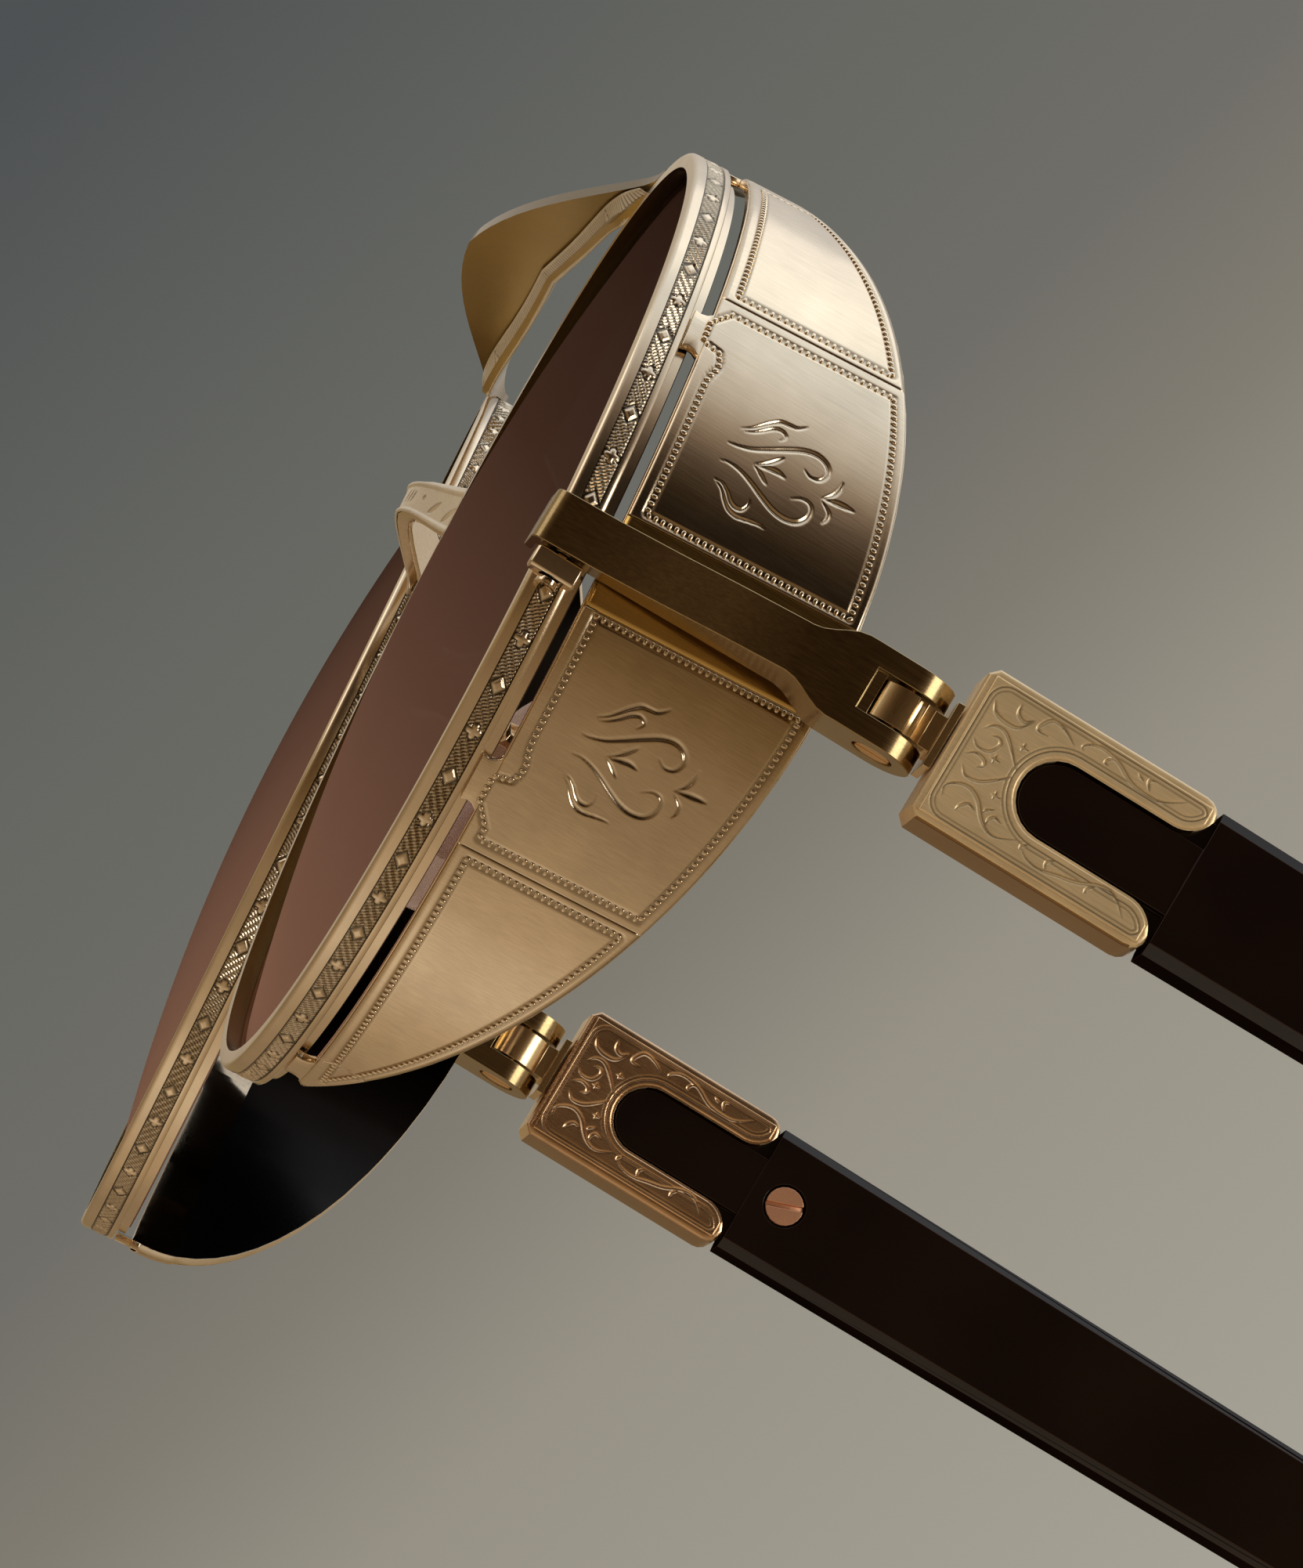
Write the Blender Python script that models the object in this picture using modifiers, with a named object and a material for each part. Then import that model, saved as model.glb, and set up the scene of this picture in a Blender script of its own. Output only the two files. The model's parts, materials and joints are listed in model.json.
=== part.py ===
"""Round sunglasses with engraved metal rims, side shields and acetate temples.

Axes: +X is the wearer's left, -Y is the way the lenses look, +Z is up. The glasses rest on the
bottoms of the two rims and on the tips of the two temples, at z = 0, and the origin is under the
middle of their box. Left pieces are modelled, and right pieces are their mirror images.
"""

import math

import bmesh
import bpy
from mathutils import Matrix, Vector

MM = 0.001

# Layout and fits
RIM_CENTRE_X = 34.5 * MM
PANTOSCOPIC_TILT = math.radians(5.0)
FACE_WRAP = math.radians(2.4)
SOLDER_GAP = 0.1 * MM
FIT_GAP = 0.15 * MM
SCREW_SLOT_WIDTH = 0.28 * MM
THROUGH = 12.0 * MM
WELD_DISTANCE = 0.01 * MM

# Rims
RIM_RADIUS = 25.5 * MM
RIM_WALL = 0.9 * MM
RIM_BAND_DEPTH = 2.0 * MM
RIM_BORDER = 0.45 * MM
FIELD_RECESS = 0.12 * MM
LIP_DEPTH = 0.5 * MM
LIP_STEP = 0.62 * MM
RIM_CHAMFER = 0.18 * MM
RIM_SPLIT = 0.2 * MM
RIM_SIDES = 64

# Lenses
LENS_CURVE_RADIUS = 108.0 * MM
LENS_THICKNESS = 1.6 * MM
LENS_SEAT_DEPTH = 1.0 * MM
LENS_BEVEL = 0.28 * MM
LENS_BEVEL_WIDTH = 1.1 * MM
LENS_BEVEL_SLOPE = 0.3
LENS_RINGS = 3
LENS_SIDES = 48

# Side shields
SHIELD_WALL = 0.45 * MM
SHIELD_INSET = 0.05 * MM
SHIELD_SLOT = 1.0 * MM
SHIELD_REACH = 12.6 * MM
SHIELD_MIDDLE = math.radians(88.0)
SHIELD_HALF_ANGLE = math.radians(85.0)
SHIELD_END_DEPTH = 0.5 * MM
SHIELD_TAB_ANGLES = (math.radians(7.0), math.radians(59.0), math.radians(117.0), math.radians(169.0))
SHIELD_TAB_HALF_WIDTH = 1.15 * MM
SHIELD_TAB_FILLET = 0.3 * MM
SHIELD_COLUMNS = 36
SHIELD_ROWS = 3

# Brow bar: a visor sheet with an engraved ribbon hanging under its rear fold
VISOR_SHEET = 0.6 * MM
VISOR_END_SHEET = 0.42 * MM
VISOR_REACH = 4.0 * MM
VISOR_EDGE_REACH = 0.5 * MM
VISOR_DROP = 1.1 * MM
VISOR_BELL = 1.5
BROW_RISE = 0.85 * MM
BROW_FOLD_BACK = 0.65 * MM
BROW_FOLD_BOW = 3.5 * MM
BROW_END_INSET = 3.5 * MM
BROW_RIBBON = 0.5 * MM
BROW_RIBBON_HEIGHT = 0.6 * MM
BROW_RIBBON_GROWTH = 1.6 * MM
BROW_STATIONS = 30

# Saddle bridge
BRIDGE_TOP = 11.45 * MM
BRIDGE_END_HEIGHT = 2.95 * MM
BRIDGE_CROWN_HEIGHT = 1.95 * MM
BRIDGE_CROWN_RISE = 0.45 * MM
BRIDGE_THICKNESS = 0.95 * MM
BRIDGE_ARCH = 2.45 * MM
BRIDGE_SET_BACK = 0.8 * MM
BRIDGE_SHOULDER = 0.92
BRIDGE_EDGE = 0.15 * MM
BRIDGE_STATIONS = 14

# End pieces and hinges
TEMPLE_LINE = 0.65 * MM
HINGE_STAND_OFF = 3.35 * MM
HINGE_BEHIND_SHIELD = 3.85 * MM
BARREL_RADIUS = 2.05 * MM
BARREL_LEAD = 2.5 * MM
BAR_HEIGHT = 2.66 * MM
BAR_THICKNESS = 1.55 * MM
BAR_CORNER = 0.7 * MM
HOOK_THICKNESS = 0.6 * MM
HOOK_REACH = 1.7 * MM
HOOK_CHAMFER = 0.2 * MM
FLARE_LENGTH = 2.6 * MM
HINGE_BLOCK_LENGTH = 3.0 * MM
HINGE_BLOCK_HEIGHT = 4.5 * MM
HINGE_SLOT_HEIGHT = 2.2 * MM
HINGE_POCKET_FRONT = 1.9 * MM
HINGE_POCKET_DEPTH = 0.4 * MM
HINGE_SCREW_RADIUS = 0.55 * MM
HINGE_HEAD_RADIUS = 0.95 * MM
HINGE_HEAD_HEIGHT = 0.5 * MM
HINGE_HEAD_SINK = 0.05 * MM
HINGE_DRIVER_DEPTH = 0.2 * MM
BAR_STEPS = 5
LEAF_PLATE_FRONT = 2.2 * MM
LEAF_PLATE_THICKNESS = 0.4 * MM
LEAF_PLATE_HEIGHT = 3.5 * MM
LEAF_NECK_WIDTH = 2.4 * MM
LEAF_GROOVE = 0.28 * MM
LEAF_GROOVE_ANGLE = math.radians(25.0)

# Rim locks under the end pieces
LOCK_HEIGHT = 1.15 * MM
LOCK_LENGTH = 2.5 * MM
LOCK_WIDTH = 1.3 * MM
LOCK_EDGE = 0.12 * MM
LOCK_SCREW_RADIUS = 0.4 * MM
LOCK_SCREW_DEPTH = 1.1 * MM
LOCK_HEAD_RADIUS = 0.55 * MM
LOCK_HEAD_HEIGHT = 0.35 * MM
LOCK_DRIVER_DEPTH = 0.15 * MM

# Temple sleeves
SLEEVE_LENGTH = 12.9 * MM
SLEEVE_HEIGHT = 8.3 * MM
SLEEVE_THICKNESS = 4.0 * MM
SLEEVE_WALL = 0.65 * MM
SLEEVE_END_WALL = 1.05 * MM
SLEEVE_BEVEL = 0.35 * MM
SLEEVE_CORNER = 0.9 * MM
SLEEVE_INSET = 1.85 * MM
SLEEVE_WINDOW_RADIUS = 2.0 * MM
SLEEVE_WINDOW_DEPTH = 3.9 * MM

# Temples
TEMPLE_HEIGHT = 7.9 * MM
TEMPLE_THICKNESS = 3.8 * MM
TEMPLE_CHAMFER = 0.55 * MM
TEMPLE_STRAIGHT = 90.0 * MM
TEMPLE_WAIST_HEIGHT = 6.2 * MM
TEMPLE_WAIST_THICKNESS = 3.0 * MM
TEMPLE_TIP_HEIGHT = 8.6 * MM
TAIL_SWELL = 1.25
TIP_ROUNDNESS = 0.9
TIP_THINNING = 0.35
TONGUE_LAP = 0.5 * MM
EAR_BEND_RADIUS = 16.0 * MM
EAR_BEND_ANGLE = math.radians(40.0)
EAR_INSET = 2.0 * MM
EAR_INSET_START = 0.6
CORE_HEIGHT = 2.4 * MM
CORE_THICKNESS = 1.1 * MM
CORE_EDGE = 0.05 * MM
CORE_TIP_MARGIN = 14.0 * MM
TEMPLE_SCREW_BEHIND = 2.3 * MM
TEMPLE_SCREW_RADIUS = 1.12 * MM
TEMPLE_SCREW_HEAD = 0.9 * MM
TEMPLE_SCREW_SHANK = 0.5 * MM
TEMPLE_DRIVER_DEPTH = 0.3 * MM
TEMPLE_DRIVER_TURN = math.radians(20.0)

# Nose pads
PAD_PIVOT_INSET = 0.4 * MM
PAD_PIVOT_BEHIND = 4.4 * MM
PAD_PIVOT_RISE = 0.4 * MM
PAD_SPLAY = math.radians(-38.0)
PAD_FRONTAL = math.radians(-14.0)
PAD_LENGTH = 12.6 * MM
PAD_WIDTH = 6.6 * MM
PAD_THICKNESS = 2.0 * MM
PAD_TAPER = 0.16
PAD_CURVE = 0.35 * MM
PAD_STAND_OFF = 0.75 * MM
PAD_BOSS_WIDTH = 0.7 * MM
PAD_BOSS_HEIGHT = 1.7 * MM
PAD_BOSS_DEPTH = 0.95 * MM
PAD_BOSS_ROOT = 0.4 * MM
PAD_SCREW_RADIUS = 0.3 * MM
PAD_SCREW_HEAD = 0.5 * MM
PAD_SCREW_HEAD_HEIGHT = 0.3 * MM
PAD_DRIVER_DEPTH = 0.15 * MM
PAD_SLOT_WIDTH = 0.2 * MM
PAD_BOX_HEIGHT = 2.3 * MM
PAD_BOX_WALL = 0.5 * MM
PAD_BOX_LIP = 0.2 * MM
PAD_ARM_RADIUS = 0.55 * MM
PAD_ARM_FOOT_ANGLE = math.radians(-84.0)
PAD_ARM_RISE = 1.6 * MM
PAD_ARM_LEAD = 1.4 * MM
PAD_ARM_LOOP = Vector((0.9, 0.2, 1.3)) * MM

RIM_BOTTOM = RIM_RADIUS * math.cos(PANTOSCOPIC_TILT) - RIM_CHAMFER * math.sin(PANTOSCOPIC_TILT)
RIM_CENTRE_Z = RIM_BOTTOM
TEMPLE_Z = RIM_CENTRE_Z + TEMPLE_LINE
RIM_DEPTH = RIM_BAND_DEPTH + LIP_DEPTH
RIM_BORE = RIM_RADIUS - RIM_WALL
SHIELD_RADIUS = RIM_RADIUS - SHIELD_INSET
SHIELD_FRONT = RIM_BAND_DEPTH + SHIELD_SLOT
HINGE_X = RIM_CENTRE_X + RIM_RADIUS + HINGE_STAND_OFF
HINGE_Y = SHIELD_FRONT + SHIELD_REACH + HINGE_BEHIND_SHIELD
SLEEVE_FRONT = LEAF_PLATE_FRONT + LEAF_PLATE_THICKNESS + SOLDER_GAP
SLEEVE_BACK = SLEEVE_FRONT + SLEEVE_LENGTH
MIDDLE_X = SLEEVE_THICKNESS / 2 - SLEEVE_INSET
TEMPLE_START = SLEEVE_BACK + FIT_GAP
PAD_PIVOT = Vector((RIM_CENTRE_X - RIM_RADIUS - PAD_PIVOT_INSET, RIM_DEPTH + PAD_PIVOT_BEHIND,
                    RIM_CENTRE_Z + PAD_PIVOT_RISE))
BROW_HALF_SPAN = RIM_CENTRE_X - BROW_END_INSET

METAL = {"color": (0.58, 0.46, 0.30), "metallic": 1.0, "roughness": 0.28}
POLISHED = {"color": (0.55, 0.42, 0.20), "metallic": 1.0, "roughness": 0.12}
BRUSHED = {"color": (0.55, 0.45, 0.31), "metallic": 1.0, "roughness": 0.38}
COPPER = {"color": (0.70, 0.38, 0.26), "metallic": 1.0, "roughness": 0.3}
LENS = {"color": (0.16, 0.09, 0.06), "metallic": 0.0, "roughness": 0.05}
ACETATE = {"color": (0.012, 0.006, 0.006), "metallic": 0.0, "roughness": 0.12}
PAD = {"color": (0.62, 0.48, 0.36), "metallic": 0.0, "roughness": 0.3}


def clear_scene():
    for obj in list(bpy.data.objects):
        bpy.data.objects.remove(obj, do_unlink=True)


def new_collection(name):
    collection = bpy.data.collections.new(name)
    bpy.context.scene.collection.children.link(collection)
    return collection


def new_material(name, finish):
    material = bpy.data.materials.new(name)
    material.use_nodes = True
    shader = material.node_tree.nodes["Principled BSDF"]
    shader.inputs["Base Color"].default_value = (*finish["color"], 1.0)
    shader.inputs["Metallic"].default_value = finish["metallic"]
    shader.inputs["Roughness"].default_value = finish["roughness"]
    return material


def new_object(name, bm, collection, finish=None):
    mesh = bpy.data.meshes.new(name)
    bm.to_mesh(mesh)
    bm.free()
    obj = bpy.data.objects.new(name, mesh)
    collection.objects.link(obj)
    if finish:
        mesh.materials.append(new_material(name, finish))
    return obj


def new_cutter(name, bm, matrix=None):
    cutter = new_object(name, bm, CUTTERS)
    if matrix is not None:
        cutter.matrix_world = matrix
    cutter.hide_render = True
    cutter.display_type = "WIRE"
    return cutter


def cut(obj, cutter, operation="DIFFERENCE"):
    boolean = obj.modifiers.new(cutter.name, "BOOLEAN")
    boolean.operation = operation
    boolean.object = cutter
    boolean.solver = "EXACT"


def bevel_edges(obj, width, segments=2, limit=math.radians(50)):
    bevel = obj.modifiers.new("Edges", "BEVEL")
    bevel.width = width
    bevel.segments = segments
    bevel.limit_method = "ANGLE"
    bevel.angle_limit = limit


def evaluated_mesh(obj):
    bpy.context.view_layer.update()
    graph = bpy.context.evaluated_depsgraph_get()
    return bpy.data.meshes.new_from_object(obj.evaluated_get(graph))


def shade(obj, angle=math.radians(35)):
    obj.data.shade_smooth()
    obj.data.set_sharp_from_angle(angle=angle)


def mirror_to_right(left, finish):
    """Make the right-hand twin of a left piece: its evaluated mesh mirrored in X."""
    name = left.name.replace("_left", "_right")
    mesh = evaluated_mesh(left)
    mesh.name = name
    mesh.transform(Matrix.Scale(-1, 4, (1, 0, 0)))
    mesh.flip_normals()
    mesh.materials.clear()
    mesh.materials.append(new_material(name, finish))
    right = bpy.data.objects.new(name, mesh)
    MODEL.objects.link(right)
    place = left.matrix_world.translation
    turn = left.rotation_euler
    right.location = (-place.x, place.y, place.z)
    right.rotation_euler = (turn.x, -turn.y, -turn.z)
    shade(right)
    return right


def box_mesh(low, high):
    bm = bmesh.new()
    bmesh.ops.create_cube(bm, size=1.0)
    size = Vector(high) - Vector(low)
    middle = (Vector(high) + Vector(low)) / 2
    bmesh.ops.scale(bm, vec=size, verts=bm.verts)
    bmesh.ops.translate(bm, vec=middle, verts=bm.verts)
    return bm


def cylinder_mesh(radius, low, high, axis="Z", sides=24, top_radius=None):
    """A closed cylinder along an axis from low to high, centred on that axis."""
    bm = bmesh.new()
    turn = {"Z": Matrix.Identity(3), "Y": Matrix.Rotation(-math.pi / 2, 3, "X"),
            "X": Matrix.Rotation(math.pi / 2, 3, "Y")}[axis]
    bmesh.ops.create_cone(bm, cap_ends=True, segments=sides, radius1=radius,
                          radius2=radius if top_radius is None else top_radius, depth=high - low)
    bmesh.ops.translate(bm, vec=(0, 0, (high + low) / 2), verts=bm.verts)
    bmesh.ops.rotate(bm, cent=(0, 0, 0), matrix=turn, verts=bm.verts)
    return bm


def slab_mesh(outline, low, high, axis="Z"):
    """Extrude a closed outline of (a, b) points: (x, y) along Z, or (y, z) along X."""
    bm = bmesh.new()
    if axis == "Z":
        corners = [bm.verts.new((a, b, low)) for a, b in outline]
        step = Vector((0, 0, high - low))
    else:
        corners = [bm.verts.new((low, a, b)) for a, b in outline]
        step = Vector((high - low, 0, 0))
    face = bm.faces.new(corners)
    result = bmesh.ops.extrude_face_region(bm, geom=[face])
    raised = [item for item in result["geom"] if isinstance(item, bmesh.types.BMVert)]
    bmesh.ops.translate(bm, vec=step, verts=raised)
    bmesh.ops.recalc_face_normals(bm, faces=bm.faces)
    return bm


def loft_mesh(rings):
    """Skin a list of equal rings of points and cap both ends."""
    bm = bmesh.new()
    loops = [[bm.verts.new(point) for point in ring] for ring in rings]
    for first, second in zip(loops, loops[1:]):
        for i, vert in enumerate(first):
            j = (i + 1) % len(first)
            bm.faces.new((vert, first[j], second[j], second[i]))
    bm.faces.new(list(reversed(loops[0])))
    bm.faces.new(loops[-1])
    bmesh.ops.recalc_face_normals(bm, faces=bm.faces)
    return bm


def ease(share):
    """Smooth step from 0 to 1."""
    return share * share * (3 - 2 * share)


def arc_points(centre, radius, start, end, steps):
    """Points (a, b) on an arc, angles in radians from the first axis."""
    points = []
    for i in range(steps + 1):
        angle = start + (end - start) * i / steps
        points.append((centre[0] + radius * math.cos(angle), centre[1] + radius * math.sin(angle)))
    return points


def chamfered_ring(width, height, chamfer):
    """Eight corners (a, b) of a rectangle with cut corners, centred on zero."""
    a = width / 2
    b = height / 2
    c = chamfer
    return [(a, b - c), (a - c, b), (-a + c, b), (-a, b - c),
            (-a, -b + c), (-a + c, -b), (a - c, -b), (a, -b + c)]


def screw_solid(name, profile, sides, collection, finish):
    """Turn a closed (radius, depth) profile round the Y axis with a Screw modifier."""
    bm = bmesh.new()
    verts = [bm.verts.new((radius, depth, 0)) for radius, depth in profile]
    for first, second in zip(verts, verts[1:]):
        bm.edges.new((first, second))
    if profile[0][0] > 0:
        bm.edges.new((verts[-1], verts[0]))
    obj = new_object(name, bm, collection, finish)
    screw = obj.modifiers.new("Turn", "SCREW")
    screw.axis = "Y"
    screw.steps = sides
    screw.render_steps = sides
    screw.use_merge_vertices = True
    screw.merge_threshold = WELD_DISTANCE
    screw.use_normal_calculate = True
    return obj


def on_rim(radius, angle, depth):
    """A point in a rim's own axes. The angle runs from the top over the temple side."""
    return Vector((radius * math.sin(angle), depth, radius * math.cos(angle)))


def rim_matrix():
    return (Matrix.Translation((RIM_CENTRE_X, 0, RIM_CENTRE_Z))
            @ Matrix.Rotation(FACE_WRAP, 4, "Z") @ Matrix.Rotation(PANTOSCOPIC_TILT, 4, "X"))


def place_on_rim(obj):
    obj.location = (RIM_CENTRE_X, 0, RIM_CENTRE_Z)
    obj.rotation_euler = (PANTOSCOPIC_TILT, 0, FACE_WRAP)


def rim_height_at(x):
    """World height of the rims' outer surface above x, on the upper half."""
    across = (abs(x) - RIM_CENTRE_X) / math.cos(FACE_WRAP)
    rise = math.sqrt(max(RIM_RADIUS ** 2 - across ** 2, 0))
    return RIM_CENTRE_Z + rise * math.cos(PANTOSCOPIC_TILT)


def rim_front_at(x, height):
    """World Y of the rims' front plane at x and at a height over the rim centre."""
    return -(RIM_CENTRE_X - abs(x)) * math.tan(FACE_WRAP) - height * math.tan(PANTOSCOPIC_TILT)


def split_height():
    """World height of the cut through the rim, between the end piece and the rim lock."""
    return TEMPLE_Z - BAR_HEIGHT / 2 - FIT_GAP - RIM_SPLIT / 2


def make_rim():
    r = RIM_RADIUS
    bore = RIM_BORE
    band = RIM_BAND_DEPTH
    recess = FIELD_RECESS
    lip = r - LIP_STEP
    groove = bore + LENS_BEVEL + FIT_GAP
    seat = LENS_SEAT_DEPTH
    bevel = LENS_BEVEL_WIDTH
    slope = LENS_BEVEL_SLOPE
    profile = [
        (r - RIM_CHAMFER, 0), (r, RIM_CHAMFER), (r, RIM_BORDER), (r - recess, RIM_BORDER + recess),
        (r - recess, band - RIM_BORDER - recess), (r, band - RIM_BORDER), (r, band),
        (lip, band), (lip, RIM_DEPTH), (bore, RIM_DEPTH),
        (bore, seat + bevel + FIT_GAP), (groove, seat + bevel * (1 - slope)),
        (groove, seat + bevel * slope), (bore, seat - FIT_GAP), (bore, 0),
    ]
    rim = screw_solid("rim_left", profile, RIM_SIDES, MODEL, METAL)
    place_on_rim(rim)
    reach = 2 * RIM_WALL
    low = (RIM_CENTRE_X + RIM_BORE - reach, -RIM_DEPTH, split_height() - RIM_SPLIT / 2)
    high = (RIM_CENTRE_X + RIM_RADIUS + reach, 3 * RIM_DEPTH, split_height() + RIM_SPLIT / 2)
    cut(rim, new_cutter("rim_split_cutter", box_mesh(low, high)))
    shade(rim)
    mirror_to_right(rim, METAL)


def lens_sag(radius):
    return LENS_CURVE_RADIUS - math.sqrt(LENS_CURVE_RADIUS ** 2 - radius ** 2)


def make_lens():
    edge = RIM_BORE - FIT_GAP
    seat = LENS_SEAT_DEPTH
    apex = seat - lens_sag(edge)
    radii = [edge * i / LENS_RINGS for i in range(LENS_RINGS + 1)]
    front = [(radius, apex + lens_sag(radius)) for radius in radii]
    back = [(radius, apex + LENS_THICKNESS + lens_sag(radius)) for radius in reversed(radii)]
    tip = edge + LENS_BEVEL
    bevel = [(tip, seat + LENS_BEVEL_WIDTH * LENS_BEVEL_SLOPE),
             (tip, seat + LENS_BEVEL_WIDTH * (1 - LENS_BEVEL_SLOPE)), (edge, seat + LENS_BEVEL_WIDTH)]
    lens = screw_solid("lens_left", front + bevel + back, LENS_SIDES, MODEL, LENS)
    place_on_rim(lens)
    shade(lens)
    mirror_to_right(lens, LENS)


def shield_rear(angle):
    """Depth of the shield's rear edge: deep beside the temple, shallow at its two ends."""
    bow = math.cos(angle - SHIELD_MIDDLE) - math.cos(SHIELD_HALF_ANGLE)
    bow /= 1 - math.cos(SHIELD_HALF_ANGLE)
    return SHIELD_FRONT + SHIELD_END_DEPTH + (SHIELD_REACH - SHIELD_END_DEPTH) * max(bow, 0)


def shield_angles():
    """Column angles: even steps, with extra columns at the sides of each tab."""
    tab = SHIELD_TAB_HALF_WIDTH / SHIELD_RADIUS
    flare = SHIELD_TAB_FILLET / SHIELD_RADIUS
    start = SHIELD_MIDDLE - SHIELD_HALF_ANGLE
    step = 2 * SHIELD_HALF_ANGLE / SHIELD_COLUMNS
    tab_sides = []
    for middle in SHIELD_TAB_ANGLES:
        tab_sides += [middle - tab - flare, middle - tab / 3, middle + tab / 3, middle + tab + flare]
    angles = list(tab_sides)
    for i in range(SHIELD_COLUMNS + 1):
        angle = start + step * i
        inside = any(abs(angle - middle) < tab + flare for middle in SHIELD_TAB_ANGLES)
        near = any(abs(angle - side) < step * 0.4 for side in tab_sides)
        if i in (0, SHIELD_COLUMNS) or not (inside or near):
            angles.append(angle)
    return sorted(angles)


def make_side_shield():
    """A cylindrical sheet behind the rim, with four tabs that reach the rim."""
    bm = bmesh.new()
    angles = shield_angles()
    grid = []
    for angle in angles:
        rear = shield_rear(angle)
        column = []
        for row in range(SHIELD_ROWS + 1):
            depth = SHIELD_FRONT + (rear - SHIELD_FRONT) * row / SHIELD_ROWS
            column.append(bm.verts.new(on_rim(SHIELD_RADIUS, angle, depth)))
        grid.append(column)
    for first, second in zip(grid, grid[1:]):
        for row in range(SHIELD_ROWS):
            bm.faces.new((first[row], first[row + 1], second[row + 1], second[row]))
    tab = SHIELD_TAB_HALF_WIDTH / SHIELD_RADIUS
    flare = SHIELD_TAB_FILLET / SHIELD_RADIUS
    rim_side = RIM_BAND_DEPTH + SOLDER_GAP
    for middle in SHIELD_TAB_ANGLES:
        inside = [i for i, angle in enumerate(angles) if abs(angle - middle) < tab + 1.01 * flare]
        row_before = [grid[i][0] for i in inside]
        levels = ((0.70, 0.25), (0.35, 0.0), (0.0, 0.35))
        for share, widen in levels:
            depth = rim_side + (SHIELD_FRONT - rim_side) * share
            half = tab + flare * widen
            spread = half / (tab + flare)
            row = [bm.verts.new(on_rim(SHIELD_RADIUS, middle + (angles[i] - middle) * spread, depth))
                   for i in inside]
            for k in range(len(row) - 1):
                bm.faces.new((row[k], row_before[k], row_before[k + 1], row[k + 1]))
            row_before = row
    bmesh.ops.recalc_face_normals(bm, faces=bm.faces)
    middle_face = min(bm.faces, key=lambda face: abs(face.calc_center_median().z))
    if middle_face.normal.x < 0:
        bmesh.ops.reverse_faces(bm, faces=bm.faces)
    shield = new_object("side_shield_left", bm, MODEL, BRUSHED)
    wall = shield.modifiers.new("Sheet", "SOLIDIFY")
    wall.thickness = SHIELD_WALL
    wall.offset = -1
    place_on_rim(shield)
    shade(shield)
    mirror_to_right(shield, BRUSHED)


def brow_section(x):
    """The L-shaped section at x: a visor sheet and, under its rear fold, the ribbon."""
    share = min(abs(x) / BROW_HALF_SPAN, 1)
    fullness = 1 - share ** 2
    bell = fullness ** VISOR_BELL
    seat = rim_height_at(x) + SOLDER_GAP
    arch = RIM_CENTRE_Z + RIM_RADIUS * math.cos(PANTOSCOPIC_TILT) + BROW_RISE * fullness
    sheet = VISOR_SHEET + (VISOR_END_SHEET - VISOR_SHEET) * share ** 4
    top = max(arch, seat + sheet)
    base_y = rim_front_at(x, RIM_RADIUS) + BROW_FOLD_BACK * share ** 2
    fold_y = base_y - BROW_FOLD_BOW * share ** 3 * fullness
    front_y = base_y - VISOR_REACH * bell - VISOR_EDGE_REACH
    front_top = top - VISOR_DROP * bell
    ribbon = BROW_RIBBON_HEIGHT + BROW_RIBBON_GROWTH * share ** 2
    ribbon_foot = min(max(top - sheet - ribbon, seat), top - sheet - WELD_DISTANCE)
    back_y = fold_y + BROW_RIBBON
    return [
        Vector((x, front_y, front_top)), Vector((x, fold_y, top)), Vector((x, back_y, top)),
        Vector((x, back_y, ribbon_foot)), Vector((x, fold_y, ribbon_foot)),
        Vector((x, fold_y, top - sheet)), Vector((x, front_y, front_top - sheet)),
    ]


def make_brow_bar():
    rings = []
    for i in range(BROW_STATIONS + 1):
        turn = math.pi * i / BROW_STATIONS
        even = 2 * i / BROW_STATIONS - 1
        x = BROW_HALF_SPAN * (0.5 * even - 0.5 * math.cos(turn))
        rings.append(brow_section(x))
    brow = new_object("brow_bar", loft_mesh(rings), MODEL, POLISHED)
    shade(brow)


def make_nose_bridge():
    """A saddle ribbon between the rims: it bows forward and up, and flares towards its ends."""
    rings = []
    reach = RIM_RADIUS + SOLDER_GAP
    for i in range(BRIDGE_STATIONS + 1):
        along = 2 * i / BRIDGE_STATIONS - 1
        bow = (1 + math.cos(math.pi * min(abs(along) / BRIDGE_SHOULDER, 1))) / 2
        tall = BRIDGE_END_HEIGHT + (BRIDGE_CROWN_HEIGHT - BRIDGE_END_HEIGHT) * bow
        ring = []
        for up, back in ((0, 0), (1, 0), (1, 1), (0, 1)):
            height = BRIDGE_TOP + BRIDGE_CROWN_RISE * bow - tall * (1 - up)
            end_height = BRIDGE_TOP - BRIDGE_END_HEIGHT * (1 - up)
            nasal = RIM_CENTRE_X - math.sqrt(reach ** 2 - end_height ** 2)
            x = along * (nasal - RIM_RADIUS * (1 - math.cos(FACE_WRAP)))
            y = rim_front_at(x, height) + BRIDGE_SET_BACK - BRIDGE_ARCH * bow + BRIDGE_THICKNESS * back
            ring.append(Vector((x, y, RIM_CENTRE_Z + height)))
        rings.append(ring)
    bridge = new_object("nose_bridge", loft_mesh(rings), MODEL, METAL)
    bevel_edges(bridge, BRIDGE_EDGE, 1)
    shade(bridge)


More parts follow.
